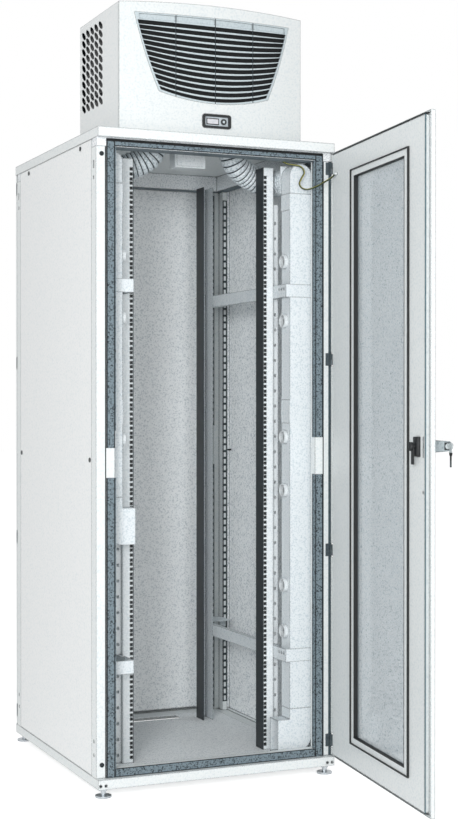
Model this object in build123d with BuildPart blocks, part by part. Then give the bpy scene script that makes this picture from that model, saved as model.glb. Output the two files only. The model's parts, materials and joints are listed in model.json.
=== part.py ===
from build123d import *
from math import cos, radians, sin
import os

# Air-conditioned server cabinet. Millimetres, +Z up, front faces -Y.
# The origin is the centre of the cabinet's footprint on the floor.

# Cabinet sizes
WIDTH = 800.0
DEPTH = 900.0
HEIGHT = 2000.0
FLOOR_GAP = 27.0
BASE_HEIGHT = 30.0
ROOF_RIM = 30.0
SHEET = 1.5
FRAME_SHEET = 2.0
FRAME_INSET = 20.0
POST = 60.0
POST_STEP = 30.0
POST_NECK = 38.0
TOP_FRAME_HEIGHT = 54.5
PANEL_THICKNESS = 18.0
PANEL_MARGIN = 42.0
FIT = 0.3
TOUCH_GAP = 0.5
SEAL_THICKNESS = 3.0
SEAL_WIDTH = 27.0
SEAL_LEG = 18.0

half_width = WIDTH / 2
half_depth = DEPTH / 2
base_low = FLOOR_GAP
base_top = base_low + BASE_HEIGHT
roof_top = FLOOR_GAP + HEIGHT
rim_low = roof_top - ROOF_RIM
roof_under = roof_top - SHEET
frame_face = half_depth - FRAME_INSET
inner_width = half_width - POST
inner_depth = frame_face - POST
post_top = roof_under - TOP_FRAME_HEIGHT
panel_plane = half_width - PANEL_THICKNESS
panel_end = half_depth - FRAME_INSET - PANEL_MARGIN

# Doors
DOOR_ANGLE = 82.5
DOOR_GAP = 1.5
HINGE_IN = 4.0
HINGE_BACK = 8.0
HINGE_EDGE = 2.0
KNUCKLE_RADIUS = 5.0
KNUCKLE_LENGTH = 18.0
PIN_RADIUS = 2.5
PIN_FIT = 0.06
HINGE_INSET = 48.0
HINGES = 4
INNER_EDGE_HINGE = 22.0
INNER_EDGE_FREE = 36.0
INNER_EDGE_ENDS = 8.0
FLANGE_STEP = 2.7

door_low = base_top + DOOR_GAP
door_high = rim_low - DOOR_GAP
hinge_x = half_width - HINGE_IN
hinge_y = frame_face + HINGE_BACK
door_back = SEAL_THICKNESS + FIT - HINGE_BACK
door_front = half_depth - hinge_y
door_free = 2 * hinge_x + HINGE_EDGE
flange_back = door_back + FLANGE_STEP

# Window of the front door, measured from the hinge pin and from the door's edges
WINDOW_HINGE_SIDE = 218.0
WINDOW_FREE_MARGIN = 176.0
WINDOW_END_MARGIN = 101.5
TRIM_HINGE_SIDE = 25.5
TRIM_FREE_SIDE = 29.5
TRIM_ENDS = 22.5
TRIM_PROUD = 2.0
GLASS_THICKNESS = 4.0
GLASS_BITE = 12.0

window_left = WINDOW_HINGE_SIDE
window_right = door_free - WINDOW_FREE_MARGIN
window_low = door_low + WINDOW_END_MARGIN
window_high = door_high - WINDOW_END_MARGIN

# Lock and handle of the doors
LOCK_FROM_EDGE = 82.0
LOCK_HEIGHT = 1074.0
SPINDLE_RADIUS = 6.0
HUB_RADIUS = 11.0
HUB_HEIGHT = 2.0
HUB_FIT = 0.05
TONGUE_PLANE = 18.0
TONGUE_THICKNESS = 4.0
TONGUE_LENGTH = 50.0
TONGUE_WIDTH = 14.0
KNOB_RADIUS = 9.0
LEVER_REACH = 86.0
LEVER_HEIGHT = 36.0
LEVER_THICKNESS = 16.0
BASE_PLATE_THICKNESS = 8.0
BASE_PLATE_WIDTH = 44.0
BASE_PLATE_HEIGHT = 58.0
PIVOT_OUT = 18.0
PIVOT_RADIUS = 3.0
CATCH_LOW = 1005.0
CATCH_HIGH = 1105.0

lock_u = door_free - LOCK_FROM_EDGE
base_plate_front = door_front + BASE_PLATE_THICKNESS
pivot_v = door_front + PIVOT_OUT

# Rack rails
RACK_OPENING = 450.0
RAIL_FACE_FRONT = 282.0
RAIL_FACE_REAR = 288.0
RAIL_WIDTH = 37.0
RAIL_DEPTH_FRONT = 56.0
RAIL_DEPTH_REAR = 66.0
RACK_HOLE_SPACING = 465.1
RACK_HOLE = 9.5
RACK_UNIT = 44.45
RACK_UNITS = 42
RACK_HOLE_STEPS = (6.35, 22.225, 38.1)
RACK_START = 70.0
RAIL_LOW = base_top + SHEET
RAIL_HIGH = 1963.0

rail_inner = RACK_OPENING / 2
rail_outer = rail_inner + RAIL_WIDTH

# Channels that carry the rails
CHANNEL_HEIGHT = 42.0
CHANNEL_WIDTH = 14.0
CHANNEL_LEVELS = (379.0, 1556.0)
CHANNEL_FRONT = 300.0

# Air ducts
DUCT_FROM_SIDE = 45.0
DUCT_WIDTH_LEFT = 59.0
DUCT_WIDTH_RIGHT = 80.0
DUCT_FRONT = 378.0
DUCT_DEPTH = 60.0
DUCT_WALL = 2.0
HOOD_JOINT = 1870.0
HOOD_TOP = 1966.0
MID_JOINT = 1129.0
RIGHT_OUTLET_TOP = 206.0
RIGHT_OUTLET_LOW = 62.0
LEFT_OUTLET_TOP = 904.0
LEFT_OUTLET_LOW = 757.0
MOUTH_LENGTH = 42.0
HEEL_RADIUS = 58.0
OUTLET_BROW = 34.0
NOZZLE_RADIUS = 21.5
NOZZLE_LENGTH = 14.0
NOZZLE_WALL = 3.0
NOZZLE_HEIGHTS = (454.0, 603.0, 911.0, 1083.0, 1459.0, 1651.0)

duct_outer = half_width - DUCT_FROM_SIDE
duct_inner = {-1: duct_outer - DUCT_WIDTH_LEFT, 1: duct_outer - DUCT_WIDTH_RIGHT}
duct_middle = {side: (inner + duct_outer) / 2 for side, inner in duct_inner.items()}
duct_back = DUCT_FRONT - DUCT_DEPTH
duct_middle_y = DUCT_FRONT - DUCT_DEPTH / 2

# Air hoses from the roof unit to the ducts
HOSE_RADIUS = 44.0
HOSE_X = {-1: -124.0, 1: 150.0}
HOSE_Y = -195.0
HOSE_FLANGE = 3.0
HOSE_LEVEL = 1920.0

# Roof unit
UNIT_WIDTH = 620.0
UNIT_HEIGHT = 400.0
UNIT_FRONT = 377.0
UNIT_DEPTH = 372.0
UNIT_SHEET = 2.0
COVER_LIP = 8.0
COVER_BULGE = 27.0
COVER_CROWN = 8.0
COVER_WALL = 3.0
GRILLE_TOP_HALF = 262.0
GRILLE_LOW_HALF = 185.0
GRILLE_TOP = 369.0
GRILLE_LOW = 131.0
GRILLE_SAG = 28.0
GRILLE_ROWS = 13
GRILLE_DEPTH = 7.0
SLAT = 3.4
VENT_ROWS = 11
VENT_COLUMNS = 8
VENT_PITCH_Y = 27.0
VENT_PITCH_Z = 24.0

unit_half = UNIT_WIDTH / 2
unit_back = UNIT_DEPTH - UNIT_FRONT
unit_low = roof_top
unit_top = unit_low + UNIT_HEIGHT
cover_side = UNIT_FRONT + COVER_LIP
cover_front = cover_side + COVER_BULGE

# Levelling feet
FOOT_RADIUS = 25.0
FOOT_DISC = 6.0
FOOT_STEM = 8.0
FOOT_INSET = 24.0
FOOT_PLATE = 58.0
FOOT_PLATE_THICKNESS = 6.0
ANCHOR_RADIUS = 6.0
ANCHOR_INSET = 48.0

foot_x = half_width - FOOT_INSET
foot_y = half_depth - FOOT_INSET
corners = [(-1, -1), (1, -1), (-1, 1), (1, 1)]
sides = (-1, 1)


def block(x, y, z, mode=Mode.ADD):
    """A box between a low and a high value on each axis, given in any order."""
    (x0, x1), (y0, y1), (z0, z1) = sorted(x), sorted(y), sorted(z)
    with Locations(((x0 + x1) / 2, (y0 + y1) / 2, (z0 + z1) / 2)):
        Box(x1 - x0, y1 - y0, z1 - z0, mode=mode)


def both(value):
    """The range from minus a value to plus it."""
    return (-value, value)


def upright_rod(x, y, z, radius, mode=Mode.ADD):
    """A round bar along Z between two heights."""
    with Locations((x, y, (z[0] + z[1]) / 2)):
        Cylinder(radius, z[1] - z[0], mode=mode)


def deep_rod(x, y, z, radius, mode=Mode.ADD):
    """A round bar along Y between two depths."""
    with Locations((x, (y[0] + y[1]) / 2, z)):
        Cylinder(radius, abs(y[1] - y[0]), rotation=(90, 0, 0), mode=mode)


def cross_rod(x, y, z, radius, mode=Mode.ADD):
    """A round bar along X between two places across."""
    with Locations(((x[0] + x[1]) / 2, y, z)):
        Cylinder(radius, abs(x[1] - x[0]), rotation=(0, 90, 0), mode=mode)


def hinge_plane(x, y, angle):
    """A door's own plane: X from the pin to the free edge, Y outwards, Z up."""
    turn = radians(angle)
    return Plane(origin=(x, y, 0), x_dir=(cos(turn), sin(turn), 0), z_dir=(0, 0, 1))


front_closed = hinge_plane(hinge_x, -hinge_y, 180)
front_open = hinge_plane(hinge_x, -hinge_y, 180 + DOOR_ANGLE)
rear_closed = hinge_plane(-hinge_x, hinge_y, 0)
hinge_step = (door_high - door_low - 2 * HINGE_INSET) / (HINGES - 1)
hinge_heights = [door_low + HINGE_INSET + hinge_step * n for n in range(HINGES)]

# Base: a folded ring, open below, with a plate in each corner for foot and anchor
BASE_FLANGE_X = 70.0
BASE_FLANGE_Y = 90.0
base_open_x = half_width - BASE_FLANGE_X
base_open_y = half_depth - BASE_FLANGE_Y
with BuildPart() as base_frame:
    block(both(half_width), both(half_depth), (base_low, base_top))
    wall_x = half_width - FRAME_SHEET
    wall_y = half_depth - FRAME_SHEET
    flange_low = base_top - FRAME_SHEET
    block(both(wall_x), both(wall_y), (base_low, flange_low), Mode.SUBTRACT)
    block(both(base_open_x), both(base_open_y), (flange_low, base_top), Mode.SUBTRACT)
    for sx, sy in corners:
        plate_x = (sx * (wall_x - FOOT_PLATE), sx * wall_x)
        plate_y = (sy * (wall_y - FOOT_PLATE), sy * wall_y)
        plate_top = base_low + FOOT_PLATE_THICKNESS
        block(plate_x, plate_y, (base_low, plate_top))
        through = (base_low - 1, plate_top + 1)
        upright_rod(sx * foot_x, sy * foot_y, through, FOOT_STEM + HUB_FIT, Mode.SUBTRACT)
        anchor = (sx * (half_width - ANCHOR_INSET), sy * (half_depth - ANCHOR_INSET))
        upright_rod(*anchor, through, ANCHOR_RADIUS, Mode.SUBTRACT)
    for sx in sides:
        for inset in (8.0, 25.0):
            front_wall = (-half_depth - 1, -wall_y + 1)
            deep_rod(sx * (half_width - inset), front_wall, base_low + 11, 4.5, Mode.SUBTRACT)

# Floor plate with the slot for cables at the back
FLOOR_LAP = 10.0
SLOT_HALF = 165.0
SLOT_DEPTH = 46.0
with BuildPart() as floor_plate:
    block(
        both(base_open_x + FLOOR_LAP), both(base_open_y + FLOOR_LAP), (base_top, base_top + SHEET)
    )
    slot_back = base_open_y - 15
    slot_y = (slot_back - SLOT_DEPTH, slot_back)
    block(both(SLOT_HALF), slot_y, (base_top - 1, base_top + SHEET + 1), Mode.SUBTRACT)

# Posts: closed folded sections, notched on the outside for the side panels
POST_SLOT_PITCH = 100.0
screw_x = half_width - 18.0
SCREW_FROM_END = 41.0
SCREW_SHANK = 3.0
screw_heights = (base_top + SCREW_FROM_END, post_top - 23.0)
POST_HOLES = ((1918.0, 22.0), (1878.0, 9.0), (167.0, 9.0), (125.0, 9.0))


def post_outline(sx, sy, inset):
    """The corners of a post's section, moved in by the sheet's thickness."""
    near_x = half_width - inset
    far_x = half_width - POST + inset
    neck_x = half_width - POST_NECK + inset
    step_x = panel_plane - inset
    front = frame_face - inset
    fold = frame_face - POST_STEP + inset
    back = frame_face - POST + inset
    notch = panel_end + inset
    points = [
        (near_x, front),
        (far_x, front),
        (far_x, fold),
        (neck_x, fold),
        (neck_x, back),
        (step_x, back),
        (step_x, notch),
        (near_x, notch),
    ]
    return [(sx * x, sy * y) for x, y in points]


def make_post(sx, sy, hinged):
    """One post with its slots and holes, and the catch of the lock or not."""
    with BuildPart() as post:
        for inset, mode in ((0, Mode.ADD), (FRAME_SHEET, Mode.SUBTRACT)):
            with BuildSketch(Plane.XY.offset(base_top)):
                with BuildLine():
                    Polyline(*post_outline(sx, sy, inset), close=True)
                make_face()
            extrude(amount=post_top - base_top, mode=mode)
        side_wall = (sx * (half_width - FRAME_SHEET - 1), sx * (half_width + 1))
        hole_y = sy * (half_depth - 41)
        for height, tall in POST_HOLES:
            block(
                side_wall,
                (hole_y - 4, hole_y + 4),
                (height - tall / 2, height + tall / 2),
                Mode.SUBTRACT,
            )
        face = (sy * (frame_face - FRAME_SHEET - 1), sy * (frame_face + 1))
        for height in screw_heights:
            if not hinged:
                deep_rod(sx * screw_x, face, height, SCREW_SHANK, Mode.SUBTRACT)
        inner_wall = (sx * (inner_width - 1), sx * (inner_width + FRAME_SHEET + 1))
        slot_middle = sy * (frame_face - POST_STEP / 2)
        rows = int((post_top - base_top - 100) / POST_SLOT_PITCH)
        for row in range(rows):
            height = base_top + 100 + row * POST_SLOT_PITCH
            if CATCH_LOW - 20 < height < CATCH_HIGH + 20:
                continue
            block(
                inner_wall,
                (slot_middle - 4, slot_middle + 4),
                (height - 8, height + 8),
                Mode.SUBTRACT,
            )
        if not hinged:
            block(
                inner_wall,
                (sy * (frame_face - POST_STEP + 4), sy * (frame_face - 4)),
                (CATCH_LOW, CATCH_HIGH),
                Mode.SUBTRACT,
            )
    return post


post_front_left, post_front_right, post_rear_left, post_rear_right = (
    make_post(sx, sy, sx * sy < 0) for sx, sy in corners
)

# Top frame: a ring channel, open above, under the roof plate, with the earth stud
EARTH_X = 225.0
EARTH_HEIGHT = 1990.0
EARTH_STUD = 4.0
with BuildPart() as top_frame:
    ring = (post_top, roof_under)
    corner_out = half_width - FRAME_SHEET
    block(both(panel_plane), both(frame_face), ring)
    for sy in sides:
        block(both(corner_out), (sy * panel_end, sy * frame_face), ring)
    hollow = (post_top + FRAME_SHEET, roof_under + 1)
    hollow_x = panel_plane - FRAME_SHEET
    hollow_y = frame_face - FRAME_SHEET
    with BuildSketch(Plane.XY.offset(hollow[0])):
        Rectangle(2 * hollow_x, 2 * hollow_y)
        Rectangle(
            2 * (inner_width + FRAME_SHEET), 2 * (inner_depth + FRAME_SHEET), mode=Mode.SUBTRACT
        )
    extrude(amount=hollow[1] - hollow[0], mode=Mode.SUBTRACT)
    block(both(inner_width), both(inner_depth), (post_top - 1, roof_under + 1), Mode.SUBTRACT)
    deep_rod(EARTH_X, (-inner_depth, -inner_depth + 10), EARTH_HEIGHT, EARTH_STUD)

# Roof plate with the folded rim and the openings under the unit
RETURN_WIDTH = 150.0
RETURN_DEPTH = 60.0
RETURN_Y = -300.0
with BuildPart() as roof_plate:
    block(both(half_width), both(half_depth), (rim_low, roof_top))
    block(
        both(half_width - SHEET), both(half_depth - SHEET), (rim_low - 1, roof_under), Mode.SUBTRACT
    )
    for sx in sides:
        upright_rod(
            HOSE_X[sx],
            HOSE_Y,
            (roof_under - 1, roof_top + 1),
            HOSE_RADIUS + FIT,
            Mode.SUBTRACT,
        )
    return_y = (RETURN_Y - RETURN_DEPTH / 2, RETURN_Y + RETURN_DEPTH / 2)
    block(both(RETURN_WIDTH / 2), return_y, (roof_under - 1, roof_top + 1), Mode.SUBTRACT)

# Side panels: folded pans between the posts, with their screws
PANEL_LOW_GAP = 1.5
panel_low = base_top + PANEL_LOW_GAP
panel_high = rim_low - 1.0
PANEL_SCREWS = ((-282.0, -14.0), (282.0, -14.0), (-373.0, -976.0), (373.0, -976.0))
SCREW_HEAD = 7.0


def make_side_panel(sx):
    """A pan with its folds towards the inside of the cabinet."""
    with BuildPart() as panel:
        length = panel_end - FIT
        block(
            (sx * (panel_plane + FIT), sx * half_width), both(length), (panel_low, panel_high)
        )
        block(
            (sx * panel_plane, sx * (half_width - SHEET)),
            both(length - SHEET),
            (panel_low + SHEET, panel_high - SHEET),
            Mode.SUBTRACT,
        )
        for y, drop in PANEL_SCREWS:
            wall = (sx * (half_width - SHEET - 1), sx * (half_width + 1))
            cross_rod(wall, y, panel_high + drop, SCREW_SHANK, Mode.SUBTRACT)
    return panel


side_panel_left = make_side_panel(-1)
side_panel_right = make_side_panel(1)

# Screws of the side panels and of the posts
SCREW_HEAD_HEIGHT = 2.5
with BuildPart() as cabinet_screws:
    for sx in sides:
        for y, drop in PANEL_SCREWS:
            height = panel_high + drop
            head = (sx * half_width, sx * (half_width + SCREW_HEAD_HEIGHT))
            shank = (sx * (panel_plane + 2), sx * half_width)
            cross_rod(head, y, height, SCREW_HEAD)
            cross_rod(shank, y, height, SCREW_SHANK - 0.1)
    for sx, sy in ((-1, -1), (1, 1)):
        for height in screw_heights:
            head = (sy * frame_face, sy * (frame_face + SCREW_HEAD_HEIGHT))
            shank = (sy * (frame_face - 12), sy * frame_face)
            deep_rod(sx * screw_x, head, height, SCREW_HEAD)
            deep_rod(sx * screw_x, shank, height, SCREW_SHANK - 0.1)

# Foam seals on the frame, front and back: a strip on the posts' faces, a leg round
# their inner edges, and gaps beside the lock
SEAL_GAPS = ((967.0, 1058.0), (965.0, 1084.0))
LEG_GAP = (CATCH_LOW - 38, CATCH_HIGH + 5)
with BuildPart() as frame_seals:
    seal_low = base_top
    seal_front = frame_face + SEAL_THICKNESS
    for sy in sides:
        y = (sy * frame_face, sy * seal_front)
        top = (post_top + 2, rim_low - 2)
        for sx, gap in zip(sides, SEAL_GAPS):
            x = (sx * inner_width, sx * (inner_width + SEAL_WIDTH))
            block(x, y, (seal_low, gap[0]))
            block(x, y, (gap[1], top[1]))
            leg_x = (sx * (inner_width - SEAL_THICKNESS), sx * inner_width)
            leg_y = (sy * (seal_front - SEAL_LEG), sy * seal_front)
            leg_gap = gap if sx * sy < 0 else LEG_GAP
            block(leg_x, leg_y, (seal_low, leg_gap[0]))
            block(leg_x, leg_y, (leg_gap[1], post_top))
        block(both(inner_width), y, top)

# Perforated strips on the inner faces of the rear posts, apart beside the lock
STRIP_WIDTH = 22.0
STRIP_PITCH = 25.0
STRIP_END = 12.0
with BuildPart() as post_strips:
    strip_back = seal_front - SEAL_LEG - TOUCH_GAP
    for sx in sides:
        x = (sx * (inner_width - SHEET), sx * inner_width)
        for z in ((base_top + STRIP_END, LEG_GAP[0]), (LEG_GAP[1], post_top - STRIP_END)):
            block(x, (strip_back - STRIP_WIDTH, strip_back), z)
        rows = int((post_top - base_top - 2 * STRIP_END) / STRIP_PITCH)
        with BuildSketch(Plane.YZ.offset(sx * (inner_width - SHEET / 2) - SHEET)):
            for row in range(rows):
                height = base_top + STRIP_END + (row + 0.5) * STRIP_PITCH
                if LEG_GAP[0] - STRIP_PITCH / 2 < height < LEG_GAP[1] + STRIP_PITCH / 2:
                    continue
                with Locations((strip_back - STRIP_WIDTH / 2, height)):
                    Rectangle(10, 14)
        extrude(amount=2 * SHEET, mode=Mode.SUBTRACT)

# Rack rails; the front ones have a perforated wing on their outer side
WING_WIDTH = 23.0
WING_BACK = 12.0
WING_HIGH = 1845.0
WING_PITCH = 50.0


def both_about(middle, reach):
    """The range that reaches as far on both sides of a middle."""
    return (middle - reach, middle + reach)


def make_rail(side, face, depth, end, steps):
    """A U-shaped rail, open at its back, with the square holes of its front."""
    with BuildPart() as rail:
        x = (side * rail_inner, side * rail_outer)
        block(x, (end * face, end * (face - depth)), (RAIL_LOW, RAIL_HIGH))
        block(
            (side * (rail_inner + FRAME_SHEET), side * (rail_outer - FRAME_SHEET)),
            (end * (face - FRAME_SHEET), end * (face - depth - 1)),
            (RAIL_LOW - 1, RAIL_HIGH + 1),
            Mode.SUBTRACT,
        )
        if end < 0:
            wing_x = (side * rail_outer, side * (rail_outer + WING_WIDTH))
            wing_y = (end * (face - WING_BACK), end * (face - WING_BACK - FRAME_SHEET))
            block(wing_x, wing_y, (RAIL_LOW, WING_HIGH))
            for level in CHANNEL_LEVELS:
                notch = both_about(level, CHANNEL_HEIGHT / 2 + FIT)
                block(wing_x, wing_y, notch, Mode.SUBTRACT)
            rows = int((WING_HIGH - RAIL_LOW) / WING_PITCH)
            for row in range(rows):
                height = RAIL_LOW + (row + 0.5) * WING_PITCH
                if min(abs(height - level) for level in CHANNEL_LEVELS) > CHANNEL_HEIGHT / 2 + 8:
                    hole_x = side * (rail_outer + WING_WIDTH / 2)
                    with Locations((hole_x, sum(wing_y) / 2, height)):
                        Box(6, 4, 8, mode=Mode.SUBTRACT)
        hole_x = side * RACK_HOLE_SPACING / 2
        with BuildSketch(Plane.XZ.offset(-end * (face + 1))):
            for unit in range(RACK_UNITS):
                for step in steps:
                    with Locations((hole_x, RACK_START + unit * RACK_UNIT + step)):
                        Rectangle(RACK_HOLE, RACK_HOLE)
        extrude(amount=end * (FRAME_SHEET + 2), mode=Mode.SUBTRACT)
    return rail


rack_rail_front_left = make_rail(-1, RAIL_FACE_FRONT, RAIL_DEPTH_FRONT, -1, RACK_HOLE_STEPS)
rack_rail_front_right = make_rail(1, RAIL_FACE_FRONT, RAIL_DEPTH_FRONT, -1, RACK_HOLE_STEPS)
REAR_STEPS = RACK_HOLE_STEPS[1:2]
rack_rail_rear_left = make_rail(-1, RAIL_FACE_REAR, RAIL_DEPTH_REAR, 1, REAR_STEPS)
rack_rail_rear_right = make_rail(1, RAIL_FACE_REAR, RAIL_DEPTH_REAR, 1, REAR_STEPS)

# Channels from front to back that carry the rails
CHANNEL_REAR = 340.0
with BuildPart() as depth_channels:
    for sx in sides:
        for level in CHANNEL_LEVELS:
            z = (level - CHANNEL_HEIGHT / 2, level + CHANNEL_HEIGHT / 2)
            x = (sx * rail_outer, sx * (rail_outer + CHANNEL_WIDTH))
            block(x, (-CHANNEL_FRONT, CHANNEL_REAR), z)
            block(
                (sx * (rail_outer + FRAME_SHEET), sx * (rail_outer + CHANNEL_WIDTH + 1)),
                (-CHANNEL_FRONT - 1, CHANNEL_REAR + 1),
                (z[0] + FRAME_SHEET, z[1] - FRAME_SHEET),
                Mode.SUBTRACT,
            )
            for n in range(3):
                wall = (sx * (rail_outer - 1), sx * (rail_outer + FRAME_SHEET + 1))
                cross_rod(wall, CHANNEL_REAR - 12 - 14 * n, level + 6, 3, Mode.SUBTRACT)

# Angle plates from the channels to the rear posts, straps round the ducts in front
neck_width = half_width - POST_NECK
with BuildPart() as channel_brackets:
    for sx in sides:
        for level in CHANNEL_LEVELS:
            top = level + CHANNEL_HEIGHT / 2
            plate = (top, top + FRAME_SHEET)
            block((sx * rail_outer, sx * neck_width), (CHANNEL_REAR - 60, inner_depth + 20), plate)
            block(
                (sx * (neck_width - FRAME_SHEET), sx * neck_width),
                (inner_depth - 30, inner_depth + 20),
                (top - 30, top),
            )
    for sx in sides:
        for level in CHANNEL_LEVELS:
            z = (level - CHANNEL_HEIGHT / 2, level + CHANNEL_HEIGHT / 2)
            front = DUCT_FRONT + FRAME_SHEET
            arm_x = (sx * (rail_outer - FRAME_SHEET), sx * rail_outer)
            block((arm_x[0], sx * neck_width), (-front, -DUCT_FRONT), z)
            block(arm_x, (-front, -CHANNEL_FRONT + 8), z)
            for n in range(3):
                hole = (arm_x[0] - sx, arm_x[1] + sx)
                cross_rod(hole, -DUCT_FRONT + 12 + 18 * n, level + 6, 4, Mode.SUBTRACT)

# Feet: disc, nut and stem
FOOT_NUT = 13.0
NUT_HEIGHT = 8.0


def make_foot(sx, sy):
    """One levelling foot, turned in the plate of its corner."""
    with BuildPart() as foot:
        x, y = sx * foot_x, sy * foot_y
        upright_rod(x, y, (0, FOOT_DISC), FOOT_RADIUS)
        nut_top = base_low - FIT
        with BuildSketch(Plane.XY.offset(nut_top - NUT_HEIGHT)):
            with Locations((x, y)):
                RegularPolygon(FOOT_NUT, 6)
        extrude(amount=NUT_HEIGHT)
        upright_rod(x, y, (FOOT_DISC, base_top - 5), FOOT_STEM)
    return foot


foot_front_left, foot_front_right, foot_rear_left, foot_rear_right = (
    make_foot(sx, sy) for sx, sy in corners
)

# Ducts
COLLAR_GROW = 1.5


with BuildPart() as duct_hoods:
    for sx, inner in duct_inner.items():
        radius = (duct_outer - inner) / 2
        middle = duct_middle[sx]
        spring = HOOD_TOP - radius
        y = (-DUCT_FRONT, -duct_back)
        block((sx * inner, sx * duct_outer), y, (HOOD_JOINT, spring))
        deep_rod(sx * middle, y, spring, radius)
        flange_x = (sx * (middle - HOSE_RADIUS - 1), sx * (middle + HOSE_RADIUS + 1))
        flange_z = (HOSE_LEVEL - HOSE_RADIUS - 1, HOSE_LEVEL + HOSE_RADIUS + 1)
        block(flange_x, (-duct_back, -duct_back + HOSE_FLANGE), flange_z)
        wall = DUCT_WALL
        inside = (-DUCT_FRONT + wall, -duct_back - wall)
        block(
            (sx * (inner + wall), sx * (duct_outer - wall)),
            inside,
            (HOOD_JOINT - 1, spring),
            Mode.SUBTRACT,
        )
        deep_rod(sx * middle, inside, spring, radius - wall, Mode.SUBTRACT)
        mouth = (-duct_back - wall - 1, -duct_back + HOSE_FLANGE + 1)
        deep_rod(sx * middle, mouth, HOSE_LEVEL, radius - 6, Mode.SUBTRACT)


def make_riser(sx, low):
    """The straight duct between hood and outlet, with its joint collars."""
    with BuildPart() as riser:
        inner = duct_inner[sx]
        y = (-DUCT_FRONT, -duct_back)
        block((sx * inner, sx * duct_outer), y, (low, HOOD_JOINT))
        grow = COLLAR_GROW
        grown_x = (sx * (inner - grow), sx * (duct_outer + grow))
        grown_y = (-DUCT_FRONT, -duct_back + grow)
        for collar in ((HOOD_JOINT - 53, HOOD_JOINT), (MID_JOINT, MID_JOINT + 75)):
            block(grown_x, grown_y, collar)
        wall = DUCT_WALL
        block(
            (sx * (inner + wall), sx * (duct_outer - wall)),
            (-DUCT_FRONT + wall, -duct_back - wall),
            (low - 1, HOOD_JOINT + 1),
            Mode.SUBTRACT,
        )
        for height in NOZZLE_HEIGHTS:
            if height > low + NOZZLE_RADIUS:
                cut = (sx * (inner - 1), sx * (inner + wall + 1))
                bore = NOZZLE_RADIUS - NOZZLE_WALL
                cross_rod(cut, -duct_middle_y, height, bore, Mode.SUBTRACT)
    return riser


def outlet_outline(side, low, top, inset, over):
    """The front view of an outlet: the duct above, a mouth to the rack, a round heel."""
    outer = side * (duct_outer - inset)
    inner = side * (duct_inner[side] + inset)
    mouth = side * (duct_inner[side] - MOUTH_LENGTH - over)
    floor = low + inset
    brow = top - OUTLET_BROW - inset
    middle = duct_outer - HEEL_RADIUS
    reach = (HEEL_RADIUS - inset) * sin(radians(45))
    heel = (side * (middle + reach), low + HEEL_RADIUS - reach)
    Line((mouth, floor), (side * middle, floor))
    ThreePointArc((side * middle, floor), heel, (outer, low + HEEL_RADIUS))
    Polyline((outer, low + HEEL_RADIUS), (outer, top + over), (inner, top + over), (inner, brow))
    Polyline((inner, brow), (mouth, brow), (mouth, floor))


OUTLETS = ((-1, LEFT_OUTLET_LOW, LEFT_OUTLET_TOP), (1, RIGHT_OUTLET_LOW, RIGHT_OUTLET_TOP))
with BuildPart() as duct_outlets:
    for sx, low, top in OUTLETS:
        with BuildSketch(Plane.XZ.offset(duct_back)):
            with BuildLine():
                outlet_outline(sx, low, top, 0, 0)
            make_face()
        extrude(amount=DUCT_DEPTH)
        with BuildSketch(Plane.XZ.offset(duct_back + DUCT_WALL)):
            with BuildLine():
                outlet_outline(sx, low, top, DUCT_WALL, 1)
            make_face()
        extrude(amount=DUCT_DEPTH - 2 * DUCT_WALL, mode=Mode.SUBTRACT)


duct_riser_left = make_riser(-1, LEFT_OUTLET_TOP)
duct_riser_right = make_riser(1, RIGHT_OUTLET_TOP)

# Round nozzles on the inner faces of the ducts
with BuildPart() as air_nozzles:
    for sx, low in ((-1, LEFT_OUTLET_TOP), (1, RIGHT_OUTLET_TOP)):
        for height in NOZZLE_HEIGHTS:
            if height > low + NOZZLE_RADIUS:
                x = (sx * (duct_inner[sx] - NOZZLE_LENGTH), sx * duct_inner[sx])
                cross_rod(x, -duct_middle_y, height, NOZZLE_RADIUS)
                bore = (x[0] - sx, x[1] + sx)
                cross_rod(bore, -duct_middle_y, height, NOZZLE_RADIUS - NOZZLE_WALL, Mode.SUBTRACT)


HOSE_BEND = 60.0
HOSE_TOP = 5.0
HOSE_DROP = 42.0
HOSE_PASS = (245.0, -160.0, 1937.0)
HOSE_ENTRY = 130.0
with BuildPart() as air_hoses:
    for sx in sides:
        hose_end = (sx * duct_middle[sx], -duct_back + HOSE_FLANGE + FIT, HOSE_LEVEL)
        with BuildLine() as hose_line:
            FilletPolyline(
                (HOSE_X[sx], HOSE_Y, roof_top + UNIT_SHEET + HOSE_TOP),
                (HOSE_X[sx], HOSE_Y, roof_top - HOSE_DROP),
                (sx * HOSE_PASS[0], HOSE_PASS[1], HOSE_PASS[2]),
                (hose_end[0], -duct_back + HOSE_ENTRY, HOSE_LEVEL),
                hose_end,
                radius=HOSE_BEND,
            )
        with BuildSketch(Plane(origin=hose_line.line @ 0, z_dir=hose_line.line % 0)):
            Circle(HOSE_RADIUS)
        sweep()

# Junction box under the roof
BOX_X = (-55.0, 50.0)
BOX_FRONT = 210.0
BOX_DEPTH = 50.0
BOX_HEIGHT = 68.0
with BuildPart() as junction_box:
    block(BOX_X, (-BOX_FRONT, -BOX_FRONT + BOX_DEPTH), (roof_under - BOX_HEIGHT, roof_under))
    with BuildSketch(Plane.XZ.offset(BOX_FRONT)):
        with Locations((sum(BOX_X) / 2, roof_under - BOX_HEIGHT / 2)):
            RectangleRounded(BOX_X[1] - BOX_X[0] - 12, BOX_HEIGHT - 12, 6)
    extrude(amount=3)

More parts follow.
